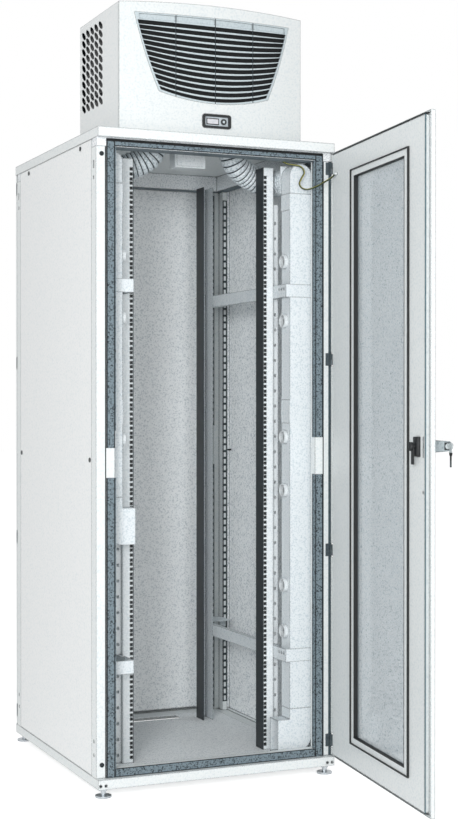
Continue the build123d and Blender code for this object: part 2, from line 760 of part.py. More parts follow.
# Roof unit: tray, housing and front cover
with BuildPart() as ac_base_tray:
    tray_x = unit_half - UNIT_SHEET - FIT
    tray_y = (-UNIT_FRONT + 4, unit_back - UNIT_SHEET - FIT)
    block(both(tray_x), tray_y, (unit_low, unit_low + 20))
    block(
        both(tray_x - UNIT_SHEET),
        (tray_y[0] + UNIT_SHEET, tray_y[1] - UNIT_SHEET),
        (unit_low + UNIT_SHEET, unit_low + 21),
        Mode.SUBTRACT,
    )
    for sx in sides:
        hole = (unit_low - 1, unit_low + UNIT_SHEET + 1)
        upright_rod(HOSE_X[sx], HOSE_Y, hole, HOSE_RADIUS + FIT, Mode.SUBTRACT)
    block(both(RETURN_WIDTH / 2), return_y, (unit_low - 1, unit_low + 3), Mode.SUBTRACT)

VENT_FROM_BACK = 28.0
VENT_UP = 120.0
DRAIN_RADIUS = 6.5
DRAIN_LENGTH = 30.0
DRAIN_X = -250.0
DRAIN_UP = 15.0
with BuildPart() as ac_housing:
    block(both(unit_half), (-UNIT_FRONT, unit_back), (unit_low, unit_top))
    block(
        both(unit_half - UNIT_SHEET),
        (-UNIT_FRONT - 1, unit_back - UNIT_SHEET),
        (unit_low - 1, unit_top - UNIT_SHEET),
        Mode.SUBTRACT,
    )
    with BuildSketch(Plane.YZ.offset(-unit_half - 1)):
        for column in range(VENT_COLUMNS):
            for row in range(VENT_ROWS):
                y = unit_back - VENT_FROM_BACK - VENT_PITCH_Y * column
                z = unit_low + VENT_UP + VENT_PITCH_Z * (row + (column % 2) / 2)
                with BuildLine():
                    Polyline((y + 9, z + 9), (y, z + 9), (y - 9, z - 9), (y, z - 9), close=True)
                make_face()
    extrude(amount=UNIT_WIDTH + 2, mode=Mode.SUBTRACT)
    deep_rod(DRAIN_X, (unit_back, unit_back + DRAIN_LENGTH), unit_low + DRAIN_UP, DRAIN_RADIUS)

unit_cover_low = unit_low + 2


def bulge_outline(inset, back=UNIT_FRONT):
    """The plan of the front cover, bulged forwards, moved in by a wall."""
    side = unit_half - inset
    shoulder = -cover_side + inset
    Line((-side, -back), (-side, shoulder))
    ThreePointArc((-side, shoulder), (0, -cover_front + inset), (side, shoulder))
    Line((side, shoulder), (side, -back))
    Line((side, -back), (-side, -back))


def grille_outline(inset):
    """The front view of the grille: wide above, narrow below, sides bowed."""
    top = unit_low + GRILLE_TOP - inset
    low = unit_low + GRILLE_LOW + inset
    wide = GRILLE_TOP_HALF - inset
    narrow = GRILLE_LOW_HALF - inset
    middle = ((wide + narrow) / 2 + 6, (top + low) / 2)
    Line((-wide, top), (wide, top))
    ThreePointArc((wide, top), middle, (narrow, low))
    ThreePointArc((narrow, low), (0, low - GRILLE_SAG), (-narrow, low))
    ThreePointArc((-narrow, low), (-middle[0], middle[1]), (-wide, top))


DISPLAY_WIDTH = 96.0
DISPLAY_HEIGHT = 43.0
DISPLAY_X = 4.0
DISPLAY_UP = 48.0
DISPLAY_PROUD = 4.0
display_z = unit_low + DISPLAY_UP
display_front = cover_front + DISPLAY_PROUD
cover_plane = Plane.XZ.offset(UNIT_FRONT - 1)

with BuildPart() as ac_front_cover:
    with BuildSketch(Plane.XY.offset(unit_cover_low)):
        with BuildLine():
            bulge_outline(0)
        make_face()
    extrude(amount=unit_top + COVER_CROWN - unit_cover_low)
    with BuildSketch(Plane.XY.offset(unit_cover_low + COVER_WALL)):
        with BuildLine():
            bulge_outline(COVER_WALL)
        make_face()
    extrude(amount=unit_top - 2 * COVER_WALL - unit_cover_low, mode=Mode.SUBTRACT)
    with BuildSketch(cover_plane):
        with BuildLine():
            low = unit_cover_low
            top = unit_top
            Line((-unit_half, low), (-unit_half, top))
            ThreePointArc((-unit_half, top), (0, top + COVER_CROWN), (unit_half, top))
            Line((unit_half, top), (unit_half, low))
            Line((unit_half, low), (-unit_half, low))
        make_face()
    extrude(amount=80, mode=Mode.INTERSECT)
    with BuildSketch(cover_plane):
        with BuildLine():
            grille_outline(-FIT)
        make_face()
    extrude(amount=80, mode=Mode.SUBTRACT)
    with BuildSketch(cover_plane):
        with Locations((DISPLAY_X, display_z)):
            RectangleRounded(DISPLAY_WIDTH + FIT, DISPLAY_HEIGHT + FIT, 8.2)
    extrude(amount=80, mode=Mode.SUBTRACT)

# Grille: bulged plate cut into slats that sag in the middle, with three ribs and
# four recessed cells along its head
RIB_SPACING = 131.0
RIB_WIDTH = 2.0
GRILLE_BORDER = 5.0
GRILLE_HEAD = 24.0
HEAD_RECESS = 3.0
row_pitch = (GRILLE_TOP - GRILLE_LOW - GRILLE_HEAD) / GRILLE_ROWS
head_cells = ((-2.5, -1), (-1, 0), (0, 1), (1, 2.5))
with BuildPart() as head_cutter:
    with BuildSketch(Plane.XY.offset(unit_low + GRILLE_TOP - GRILLE_HEAD + SLAT)):
        with BuildLine():
            bulge_outline(-1)
        make_face()
        with BuildLine():
            bulge_outline(HEAD_RECESS)
        make_face(mode=Mode.SUBTRACT)
    extrude(amount=GRILLE_HEAD - 2 * SLAT)
    with BuildSketch(cover_plane):
        for near, far in head_cells:
            low_x = max(near * RIB_SPACING + RIB_WIDTH, -GRILLE_TOP_HALF + 14)
            high_x = min(far * RIB_SPACING - RIB_WIDTH, GRILLE_TOP_HALF - 14)
            with Locations(((low_x + high_x) / 2, unit_low + GRILLE_TOP)):
                Rectangle(high_x - low_x, 4 * GRILLE_HEAD)
    extrude(amount=80, mode=Mode.INTERSECT)
with BuildPart() as ac_grille:
    with BuildSketch(Plane.XY.offset(unit_low + GRILLE_LOW - GRILLE_SAG - 1)):
        with BuildLine():
            bulge_outline(0)
        make_face()
        with BuildLine():
            bulge_outline(GRILLE_DEPTH)
        make_face(mode=Mode.SUBTRACT)
    extrude(amount=GRILLE_TOP - GRILLE_LOW + GRILLE_SAG + 2)
    with BuildSketch(cover_plane):
        with BuildLine():
            grille_outline(0)
        make_face()
    extrude(amount=80, mode=Mode.INTERSECT)
    with BuildSketch(cover_plane):
        for row in range(GRILLE_ROWS):
            high = unit_low + GRILLE_TOP - GRILLE_HEAD - row * row_pitch
            low = high - row_pitch + SLAT
            sag = GRILLE_SAG * (row + 1) / GRILLE_ROWS
            wide = GRILLE_TOP_HALF + 20
            bend = sag * (wide / GRILLE_LOW_HALF) ** 2
            with BuildLine():
                ThreePointArc((-wide, high + bend - sag), (0, high - sag), (wide, high + bend - sag))
                Line((wide, high + bend - sag), (wide, low + bend - sag))
                ThreePointArc((wide, low + bend - sag), (0, low - sag), (-wide, low + bend - sag))
                Line((-wide, low + bend - sag), (-wide, high + bend - sag))
            make_face()
        for n in (-1, 0, 1):
            with Locations((n * RIB_SPACING, unit_low + GRILLE_TOP / 2)):
                Rectangle(RIB_WIDTH, 2 * GRILLE_TOP, mode=Mode.SUBTRACT)
        with BuildLine():
            grille_outline(GRILLE_BORDER)
        make_face(mode=Mode.INTERSECT)
    extrude(amount=80, mode=Mode.SUBTRACT)
    add(head_cutter.part, mode=Mode.SUBTRACT)

# Filter mat behind the grille
MAT_THICKNESS = 4.0
MAT_LAP = 8.0
with BuildPart() as ac_filter_mat:
    with BuildSketch(Plane.XY.offset(unit_low + GRILLE_LOW - GRILLE_SAG - MAT_LAP - 1)):
        with BuildLine():
            bulge_outline(GRILLE_DEPTH + FIT, UNIT_FRONT - 20)
        make_face()
        with BuildLine():
            bulge_outline(GRILLE_DEPTH + FIT + MAT_THICKNESS, UNIT_FRONT - 20)
        make_face(mode=Mode.SUBTRACT)
    extrude(amount=GRILLE_TOP - GRILLE_LOW + GRILLE_SAG + 2 * MAT_LAP + 2)
    with BuildSketch(Plane.XZ.offset(UNIT_FRONT - 20)):
        with BuildLine():
            grille_outline(-MAT_LAP)
        make_face()
    extrude(amount=80, mode=Mode.INTERSECT)

# Display with its window and round button
DISPLAY_FLOOR = 4.0
DISPLAY_CUP = 8.0
BUTTON_RADIUS = 9.0
BUTTON_X = DISPLAY_X + 24.0
BUTTON_HEIGHT = 4.5
BUTTON_TRAVEL = 1.5
WINDOW_X = DISPLAY_X - 12.0
floor_front = display_front - DISPLAY_CUP
with BuildPart() as ac_display_frame:
    with BuildSketch(Plane.XZ.offset(floor_front - DISPLAY_FLOOR)):
        with Locations((DISPLAY_X, display_z)):
            RectangleRounded(DISPLAY_WIDTH, DISPLAY_HEIGHT, 8)
    extrude(amount=DISPLAY_FLOOR + DISPLAY_CUP)
    with BuildSketch(Plane.XZ.offset(floor_front)):
        with Locations((DISPLAY_X, display_z)):
            RectangleRounded(DISPLAY_WIDTH - 16, DISPLAY_HEIGHT - 14, 3)
    extrude(amount=DISPLAY_CUP + 1, mode=Mode.SUBTRACT)
    stem_cut = (-floor_front - 1, -floor_front + DISPLAY_FLOOR + 1)
    deep_rod(BUTTON_X, stem_cut, display_z, 3.0 + HUB_FIT, Mode.SUBTRACT)

with BuildPart() as ac_display_window:
    window_y = (-floor_front - 2, -floor_front)
    block((WINDOW_X - 21, WINDOW_X + 21), window_y, (display_z - 10, display_z + 10))

with BuildPart() as ac_display_button:
    button_back = -floor_front - BUTTON_TRAVEL - FIT
    deep_rod(BUTTON_X, (button_back - BUTTON_HEIGHT, button_back), display_z, BUTTON_RADIUS)
    deep_rod(BUTTON_X, (button_back, -floor_front + 2), display_z, 3.0)
    dimple = (button_back - BUTTON_HEIGHT - 1, button_back - BUTTON_HEIGHT + 1)
    deep_rod(BUTTON_X, dimple, display_z, BUTTON_RADIUS / 2, Mode.SUBTRACT)

# Inside of the roof unit
inside_low = unit_low + UNIT_SHEET
DECK = 2.0
DECK_UP = 150.0
COIL_WIDTH = 400.0
CONDENSER_COIL_Y = -345.0
EVAPORATOR_COIL_Y = -257.0
COIL_DEPTH = 30.0
deck_top = unit_low + DECK_UP + DECK
fan_axis_z = (deck_top + unit_top) / 2
COMPRESSOR_X = -232.0
COMPRESSOR_Y = -152.0


def make_coil(y, low, high):
    """A finned coil: end plates, a core and the row of fins as ribs."""
    with BuildPart() as coil:
        block(both(COIL_WIDTH / 2), (y - COIL_DEPTH / 2 + 4, y + COIL_DEPTH / 2 - 4), (low, high))
        for sx in sides:
            x = (sx * COIL_WIDTH / 2, sx * (COIL_WIDTH / 2 + 3))
            block(x, (y - COIL_DEPTH / 2, y + COIL_DEPTH / 2), (low, high))
    return coil


ac_condenser_coil = make_coil(CONDENSER_COIL_Y, deck_top, unit_top - UNIT_SHEET - 4)
ac_evaporator_coil = make_coil(EVAPORATOR_COIL_Y, inside_low, deck_top - DECK - 1)

with BuildPart() as ac_compressor:
    upright_rod(COMPRESSOR_X, COMPRESSOR_Y, (inside_low, inside_low + 140), 48)
    upright_rod(COMPRESSOR_X, COMPRESSOR_Y, (inside_low, inside_low + 8), 60)

FAN_RADIUS = 85.0
FAN_HUB = 26.0
SHAFT = 4.0
MOTOR_RADIUS = 30.0
BLADES = 6
CONDENSER_FAN_Y = -285.0
EVAPORATOR_FAN_Y = -100.0
FAN_DEPTH = 26.0
MOTOR_DEPTH = 40.0
EVAPORATOR_FAN_UP = 70.0
evaporator_fan_top = inside_low + EVAPORATOR_FAN_UP + FAN_DEPTH

# Deck between warm and cold side, with the two fan motors on their plates
with BuildPart() as ac_fan_carrier:
    deck_x = unit_half - UNIT_SHEET - FIT
    deck_y = (CONDENSER_COIL_Y - COIL_DEPTH / 2, unit_back - UNIT_SHEET - FIT)
    block(both(deck_x), deck_y, (deck_top - DECK, deck_top))
    plate_y = CONDENSER_FAN_Y + FAN_DEPTH / 2 + 30
    motor = (plate_y - 26, plate_y)
    block((-110, 110), (plate_y, plate_y + 3), (deck_top, unit_top - 8))
    deep_rod(0, motor, fan_axis_z, MOTOR_RADIUS)
    deep_rod(0, (plate_y - 27, plate_y - 10), fan_axis_z, SHAFT + HUB_FIT, Mode.SUBTRACT)
    hanger = (evaporator_fan_top + 4, deck_top - DECK)
    upright_rod(0, EVAPORATOR_FAN_Y, hanger, MOTOR_RADIUS)
    shaft_hole = (evaporator_fan_top + 3, evaporator_fan_top + 20)
    upright_rod(0, EVAPORATOR_FAN_Y, shaft_hole, SHAFT + HUB_FIT, Mode.SUBTRACT)

with BuildPart() as condenser_fan:
    fan_y = (CONDENSER_FAN_Y - FAN_DEPTH / 2, CONDENSER_FAN_Y + FAN_DEPTH / 2)
    deep_rod(0, fan_y, fan_axis_z, FAN_HUB)
    deep_rod(0, (fan_y[1], plate_y - 11), fan_axis_z, SHAFT)
    for n in range(BLADES):
        with Locations(Location((0, CONDENSER_FAN_Y, fan_axis_z), (0, 360 / BLADES * n, 0))):
            with Locations(Location(((FAN_HUB + FAN_RADIUS) / 2 - 1, 0, 0), (35, 0, 0))):
                Box(FAN_RADIUS - FAN_HUB + 2, 2, 30)

with BuildPart() as evaporator_fan:
    fan_z = (evaporator_fan_top - FAN_DEPTH, evaporator_fan_top)
    upright_rod(0, EVAPORATOR_FAN_Y, (fan_z[1] - 3, fan_z[1]), 62)
    upright_rod(0, EVAPORATOR_FAN_Y, (fan_z[1], evaporator_fan_top + 19), SHAFT)
    for n in range(12):
        with Locations(Location((0, EVAPORATOR_FAN_Y, fan_z[0] + 12), (0, 0, 30 * n))):
            with Locations(Location((50, 0, 0), (0, 0, 40))):
                Box(20, 2, 24)

# Hinges: the frame's halves with their pins, then the doors' halves
with BuildPart() as hinge_brackets:
    for closed in (front_closed, rear_closed):
        for height in hinge_heights:
            place = closed.location
            with Locations(place * Location((0, 0, height))):
                with Locations((8, -HINGE_BACK + 1.25, 0)):
                    Box(20, 2.5, 40)
                with Locations((0.25, -HINGE_BACK / 2, -KNUCKLE_LENGTH / 2)):
                    Box(8.5, HINGE_BACK, KNUCKLE_LENGTH)
                with Locations((0, 0, -KNUCKLE_LENGTH / 2)):
                    Cylinder(KNUCKLE_RADIUS, KNUCKLE_LENGTH)
                Cylinder(PIN_RADIUS, 2 * KNUCKLE_LENGTH)


def make_door_hinges(plane):
    """A door's knuckles with the leaves that hold its inner sheet."""
    with BuildPart(plane) as halves:
        for height in hinge_heights:
            span = (height + TOUCH_GAP, height + KNUCKLE_LENGTH)
            leaf_v = (door_back + SHEET, door_back + SHEET + 3)
            block((0, INNER_EDGE_HINGE + 14), leaf_v, span)
            upright_rod(0, 0, span, KNUCKLE_RADIUS)
            bore = (span[0] - 1, span[1] + 1)
            upright_rod(0, 0, bore, PIN_RADIUS + PIN_FIT, Mode.SUBTRACT)
    return halves


def make_door_pan(plane, window):
    """The outer sheet with folded edges, pocketed at the hinges."""
    with BuildPart(plane) as pan:
        block((-HINGE_EDGE, door_free), (flange_back, door_front), (door_low, door_high))
        block(
            (-HINGE_EDGE + SHEET, door_free - SHEET),
            (flange_back - 1, door_front - SHEET),
            (door_low + SHEET, door_high - SHEET),
            Mode.SUBTRACT,
        )
        for height in hinge_heights:
            pocket = (height - 22, height + 22)
            block((-HINGE_EDGE - 1, 6), (flange_back - 1, 9), pocket, Mode.SUBTRACT)
        if window:
            block(
                (window_left, window_right),
                (door_front - SHEET - 1, door_front + 1),
                (window_low, window_high),
                Mode.SUBTRACT,
            )
        hole = (door_front - SHEET - 1, door_front + 1)
        deep_rod(lock_u, hole, LOCK_HEIGHT, SPINDLE_RADIUS + HUB_FIT, Mode.SUBTRACT)
    return pan


inner_left = INNER_EDGE_HINGE
inner_right = door_free - INNER_EDGE_FREE
inner_low = door_low + INNER_EDGE_ENDS
inner_high = door_high - INNER_EDGE_ENDS


EDGE_SLOT_FROM_EDGE = 45.0
STUD_HEIGHT = 1922.0
STUD_LENGTH = 11.0
STUD_RADIUS = 3.0
STUD_CLEAR = 2.0
stud_u = hinge_x - inner_width + SEAL_THICKNESS + STUD_RADIUS + STUD_CLEAR
opening_u = (window_left - TRIM_HINGE_SIDE - FIT, window_right + TRIM_FREE_SIDE + FIT)
opening_w = (window_low - TRIM_ENDS - FIT, window_high + TRIM_ENDS + FIT)


def make_inner_frame(plane, window):
    """The inner sheet with its folds, the window's opening and the lock's slots."""
    with BuildPart(plane) as frame:
        fold_front = door_front - SHEET
        block((inner_left, inner_right), (door_back, fold_front), (inner_low, inner_high))
        block(
            (inner_left + SHEET, inner_right - SHEET),
            (door_back + SHEET, fold_front + 1),
            (inner_low + SHEET, inner_high - SHEET),
            Mode.SUBTRACT,
        )
        back = (door_back - 1, door_back + SHEET + 1)
        if window:
            block(opening_u, back, opening_w, Mode.SUBTRACT)
            stud_v = (door_back - STUD_LENGTH, door_back)
            deep_rod(stud_u, stud_v, STUD_HEIGHT, STUD_RADIUS)
        for height in hinge_heights:
            slot = (height - 1, height + KNUCKLE_LENGTH + 1)
            wall = (inner_left - 1, inner_left + SHEET + 0.5)
            block(wall, (door_back + SHEET, door_back + SHEET + 4), slot, Mode.SUBTRACT)
        deep_rod(lock_u, back, LOCK_HEIGHT, SPINDLE_RADIUS + HUB_FIT, Mode.SUBTRACT)
        slot_u = door_free - EDGE_SLOT_FROM_EDGE
        block((slot_u - 3, slot_u + 3), back, (LOCK_HEIGHT - 29, LOCK_HEIGHT + 27), Mode.SUBTRACT)
        deep_rod(slot_u, back, LOCK_HEIGHT - 126, 4, Mode.SUBTRACT)
    return frame


front_door_panel = make_door_pan(front_open, True)
front_door_frame = make_inner_frame(front_open, True)
front_door_hinges = make_door_hinges(front_open)
rear_door_panel = make_door_pan(rear_closed, False)
rear_door_frame = make_inner_frame(rear_closed, False)
rear_door_hinges = make_door_hinges(rear_closed)

# Window of the front door: the pane between the door's face and the trim inside
glass_front = door_front - SHEET - FIT
glass_v = (glass_front - GLASS_THICKNESS, glass_front)
with BuildPart(front_open) as front_window_trim:
    block(
        (window_left - TRIM_HINGE_SIDE, window_right + TRIM_FREE_SIDE),
        (door_back - TRIM_PROUD, glass_v[0]),
        (window_low - TRIM_ENDS, window_high + TRIM_ENDS),
    )
    block(
        (window_left, window_right),
        (door_back - TRIM_PROUD - 1, glass_v[0] + 1),
        (window_low, window_high),
        Mode.SUBTRACT,
    )

with BuildPart(front_open) as front_door_glass:
    block(
        (window_left - GLASS_BITE, window_right + GLASS_BITE),
        glass_v,
        (window_low - GLASS_BITE, window_high + GLASS_BITE),
    )

# Lock of the front door: plate outside, case inside
CASE_HALF = 9.0
CASE_SHIFT = 13.0
CASE_DEPTH = 8.0
CASE_HEIGHT = 150.0
with BuildPart(front_open) as front_lock_case:
    with BuildSketch(Plane(front_open.location * Location((0, door_front, 0), (90, 0, 0)))):
        with Locations((lock_u, LOCK_HEIGHT)):
            RectangleRounded(BASE_PLATE_WIDTH, BASE_PLATE_HEIGHT, 10)
    extrude(amount=-BASE_PLATE_THICKNESS)
    hole = (door_front - 1, base_plate_front + 1)
    deep_rod(lock_u, hole, LOCK_HEIGHT, SPINDLE_RADIUS + HUB_FIT, Mode.SUBTRACT)
    case_v = (door_back - CASE_DEPTH, door_back)
    case_w = (LOCK_HEIGHT - CASE_HEIGHT / 2, LOCK_HEIGHT + CASE_HEIGHT / 2)
    block((lock_u - CASE_HALF, lock_u + CASE_SHIFT), case_v, case_w)
    bore = (case_v[0] - 1, case_v[1] + 1)
    deep_rod(lock_u, bore, LOCK_HEIGHT, SPINDLE_RADIUS + HUB_FIT, Mode.SUBTRACT)

TONGUE_HALF = 6.5
FORK_FIT = 0.3
tongue_v = (door_back - TONGUE_PLANE, door_back - TONGUE_PLANE + TONGUE_THICKNESS)


def lock_spindle():
    """The turning shaft with its knob and the tongue that hangs from it."""
    deep_rod(lock_u, (tongue_v[0], base_plate_front + HUB_HEIGHT), LOCK_HEIGHT, SPINDLE_RADIUS)
    deep_rod(lock_u, (tongue_v[0], tongue_v[1]), LOCK_HEIGHT, KNOB_RADIUS)
    tongue_u = (lock_u - TONGUE_WIDTH / 2, lock_u + TONGUE_WIDTH / 2)
    block(tongue_u, tongue_v, (LOCK_HEIGHT - TONGUE_LENGTH, LOCK_HEIGHT))


with BuildPart(front_open) as front_lock_hub:
    lock_spindle()
    hub_v = (base_plate_front + FIT, base_plate_front + HUB_HEIGHT)
    deep_rod(lock_u, hub_v, LOCK_HEIGHT, HUB_RADIUS)
    block(
        (lock_u - 5, lock_u + 5),
        (hub_v[0], pivot_v + 5),
        (LOCK_HEIGHT - TONGUE_HALF, LOCK_HEIGHT + TONGUE_HALF),
    )
    pin_w = (LOCK_HEIGHT - LEVER_HEIGHT / 2 + 2, LOCK_HEIGHT + LEVER_HEIGHT / 2 - 2)
    upright_rod(lock_u, pivot_v, pin_w, PIVOT_RADIUS)

# Lever, standing out from its pivot, with its lock plug near the tip
PLUG_RADIUS = 8.0
PLUG_FROM_TIP = 16.0
PLUG_DEPTH = 12.0
LEVER_TIP_HEIGHT = 28.0
lever_tip = door_front + LEVER_REACH
key_v = lever_tip - PLUG_FROM_TIP
lever_u = (lock_u - LEVER_THICKNESS / 2, lock_u + LEVER_THICKNESS / 2)
with BuildPart(front_open) as front_handle_lever:
    half = LEVER_HEIGHT / 2
    upright_rod(lock_u, pivot_v, (LOCK_HEIGHT - half, LOCK_HEIGHT + half), LEVER_THICKNESS / 2 - FIT)
    lever_side = Plane(
        origin=front_open.from_local_coords((lever_u[0], 0, LOCK_HEIGHT)),
        x_dir=front_open.y_dir,
        z_dir=front_open.x_dir,
    )
    with BuildSketch(lever_side):
        with BuildLine():
            tip = LEVER_TIP_HEIGHT / 2
            Polyline(
                (pivot_v, -half),
                (lever_tip - 10, -tip),
                (lever_tip, -tip + 8),
                (lever_tip, tip - 8),
                (lever_tip - 10, tip),
                (pivot_v, half),
                close=True,
            )
        make_face()
    extrude(amount=LEVER_THICKNESS)
    fork = TONGUE_HALF + FORK_FIT
    block(
        (lever_u[0] - 1, lever_u[1] + 1),
        (pivot_v - 9, pivot_v + 10),
        (LOCK_HEIGHT - fork, LOCK_HEIGHT + fork),
        Mode.SUBTRACT,
    )
    pin_hole = (pin_w[0] - FIT, pin_w[1] + FIT)
    upright_rod(lock_u, pivot_v, pin_hole, PIVOT_RADIUS + HUB_FIT, Mode.SUBTRACT)
    bore_u = (lever_u[1] - PLUG_DEPTH, lever_u[1] + 1)
    cross_rod(bore_u, key_v, LOCK_HEIGHT, PLUG_RADIUS + HUB_FIT, Mode.SUBTRACT)

# Key in the plug, with a second key hanging below it
BOW_RADIUS = 11.0
BOW_THICKNESS = 2.4
KEY_STEM = 9.0
with BuildPart(front_open) as front_door_key:
    plug_face = lever_u[1] + 1.5
    cross_rod((bore_u[0] + 0.5, plug_face), key_v, LOCK_HEIGHT, PLUG_RADIUS)
    bow_v = (key_v - BOW_THICKNESS / 2, key_v + BOW_THICKNESS / 2)
    block((plug_face, plug_face + KEY_STEM), bow_v, (LOCK_HEIGHT - 4, LOCK_HEIGHT + 4))
    bow_u = plug_face + KEY_STEM + BOW_RADIUS - 2
    deep_rod(bow_u, bow_v, LOCK_HEIGHT, BOW_RADIUS)
    hang_w = (LOCK_HEIGHT - 58, LOCK_HEIGHT - BOW_RADIUS - 8)
    deep_rod(bow_u, bow_v, LOCK_HEIGHT - BOW_RADIUS - 8, 9)
    block((bow_u - 4, bow_u + 4), bow_v, hang_w)

# Lock of the rear door: case inside, handle outside, tongue hanging down
REAR_CASE_UP = 29.0
REAR_CASE_DOWN = 138.0
REAR_GRIP = 110.0
REAR_GRIP_WIDTH = 24.0
REAR_PLATE = 6.0
rear_front = door_front + REAR_PLATE
with BuildPart(rear_closed) as rear_lock_case:
    rear_u = (lock_u - REAR_GRIP_WIDTH / 2 - 2, lock_u + REAR_GRIP_WIDTH / 2 + 2)
    rear_w = (LOCK_HEIGHT - REAR_CASE_DOWN, LOCK_HEIGHT + REAR_CASE_UP)
    block(rear_u, (door_front, rear_front), rear_w)
    block((lock_u - CASE_HALF, lock_u + CASE_SHIFT), (door_back - CASE_DEPTH, door_back), rear_w)
    bore = (door_back - CASE_DEPTH - 1, rear_front + 1)
    deep_rod(lock_u, bore, LOCK_HEIGHT, SPINDLE_RADIUS + HUB_FIT, Mode.SUBTRACT)

with BuildPart(rear_closed) as rear_lock_handle:
    lock_spindle()
    rear_grip_u = (lock_u - REAR_GRIP_WIDTH / 2, lock_u + REAR_GRIP_WIDTH / 2)
    grip_v = (rear_front + FIT, rear_front + 14)
    block(rear_grip_u, grip_v, (LOCK_HEIGHT - REAR_GRIP, LOCK_HEIGHT + 14))

# Earthing cable inside the cabinet, up to the gap beside the open door
CABLE_RADIUS = 2.8
CABLE_POINTS = [
    (229.0, -365.0, 1988.0),
    (248.0, -365.5, 1976.0),
    (268.0, -368.0, 1964.0),
    (291.0, -388.0, 1959.0),
    (310.0, -394.0, 1955.0),
    (320.0, -397.0, 1936.0),
    (307.0, -398.0, 1917.0),
    (296.0, -401.0, 1899.0),
    (302.0, -407.0, 1884.0),
    (317.0, -415.0, 1878.0),
    (331.0, -424.0, 1882.0),
]


def arc_radii(points, share=0.45):
    """The largest tangent arcs that the runs beside each inner point allow."""
    radii = []
    for a, b, c in zip(points, points[1:], points[2:]):
        first, second = Vector(*b) - Vector(*a), Vector(*c) - Vector(*b)
        half_turn = radians(first.get_angle(second) / 2)
        reach = share * min(first.length, second.length)
        radii.append(reach * cos(half_turn) / sin(half_turn))
    return radii


cable_radii = arc_radii(CABLE_POINTS)
print("earth cable radii", [round(r, 1) for r in cable_radii])
with BuildPart() as earth_cable:
    with BuildLine() as cable_line:
        FilletPolyline(*CABLE_POINTS, radius=cable_radii)
    with BuildSketch(Plane(origin=cable_line.line @ 0, z_dir=cable_line.line % 0)):
        Circle(CABLE_RADIUS)
    sweep()

pieces = {
    "base_frame": base_frame,
    "floor_plate": floor_plate,
    "post_front_left": post_front_left,
    "post_front_right": post_front_right,
    "post_rear_left": post_rear_left,
    "post_rear_right": post_rear_right,
    "top_frame": top_frame,
    "roof_plate": roof_plate,
    "side_panel_left": side_panel_left,
    "side_panel_right": side_panel_right,
    "cabinet_screws": cabinet_screws,
    "frame_seals": frame_seals,
    "post_strips": post_strips,
    "rack_rail_front_left": rack_rail_front_left,
    "rack_rail_front_right": rack_rail_front_right,
    "rack_rail_rear_left": rack_rail_rear_left,
    "rack_rail_rear_right": rack_rail_rear_right,
    "depth_channels": depth_channels,
    "channel_brackets": channel_brackets,
    "foot_front_left": foot_front_left,
    "foot_front_right": foot_front_right,
    "foot_rear_left": foot_rear_left,
    "foot_rear_right": foot_rear_right,
    "duct_hoods": duct_hoods,
    "duct_riser_left": duct_riser_left,
    "duct_riser_right": duct_riser_right,
    "duct_outlets": duct_outlets,
    "air_nozzles": air_nozzles,
    "air_hoses": air_hoses,
    "junction_box": junction_box,
    "ac_base_tray": ac_base_tray,
    "ac_housing": ac_housing,
    "ac_front_cover": ac_front_cover,
    "ac_grille": ac_grille,
    "ac_filter_mat": ac_filter_mat,
    "ac_display_frame": ac_display_frame,
    "ac_display_window": ac_display_window,
    "ac_display_button": ac_display_button,
    "ac_condenser_coil": ac_condenser_coil,
    "ac_evaporator_coil": ac_evaporator_coil,
    "ac_compressor": ac_compressor,
    "ac_fan_carrier": ac_fan_carrier,
    "condenser_fan": condenser_fan,
    "evaporator_fan": evaporator_fan,
    "hinge_brackets": hinge_brackets,
    "front_door_panel": front_door_panel,
    "front_door_frame": front_door_frame,
    "front_door_hinges": front_door_hinges,
    "front_window_trim": front_window_trim,
    "front_door_glass": front_door_glass,
    "front_lock_case": front_lock_case,
    "front_lock_hub": front_lock_hub,
    "front_handle_lever": front_handle_lever,
    "front_door_key": front_door_key,
    "rear_door_panel": rear_door_panel,
    "rear_door_frame": rear_door_frame,
    "rear_door_hinges": rear_door_hinges,
    "rear_lock_case": rear_lock_case,
    "rear_lock_handle": rear_lock_handle,
    "earth_cable": earth_cable,
}

os.makedirs("parts", exist_ok=True)
for name, piece in pieces.items():
    piece.part.label = name
    export_step(piece.part, f"parts/{name}.step")
print(len(pieces), "pieces")
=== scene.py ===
import json
from math import cos, pi, radians, sin

import bmesh
import bpy
from mathutils import Matrix, Vector


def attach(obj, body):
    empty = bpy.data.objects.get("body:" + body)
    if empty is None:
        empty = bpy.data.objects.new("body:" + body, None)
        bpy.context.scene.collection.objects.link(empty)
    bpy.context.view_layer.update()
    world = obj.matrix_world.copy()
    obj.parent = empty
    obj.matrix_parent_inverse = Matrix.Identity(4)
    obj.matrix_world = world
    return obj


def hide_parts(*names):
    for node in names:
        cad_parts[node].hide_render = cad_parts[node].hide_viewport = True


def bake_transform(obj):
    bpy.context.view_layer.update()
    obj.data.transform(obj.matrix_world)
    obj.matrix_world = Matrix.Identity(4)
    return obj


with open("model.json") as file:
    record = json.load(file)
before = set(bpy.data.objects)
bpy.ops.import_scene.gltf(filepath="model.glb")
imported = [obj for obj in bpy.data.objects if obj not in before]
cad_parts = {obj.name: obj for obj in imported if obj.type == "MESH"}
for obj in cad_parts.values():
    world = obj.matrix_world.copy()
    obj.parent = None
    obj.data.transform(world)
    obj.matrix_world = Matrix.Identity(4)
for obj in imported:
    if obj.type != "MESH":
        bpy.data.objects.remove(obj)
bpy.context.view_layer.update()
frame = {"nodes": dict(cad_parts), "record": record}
nodes = frame["nodes"]

MM = 0.001

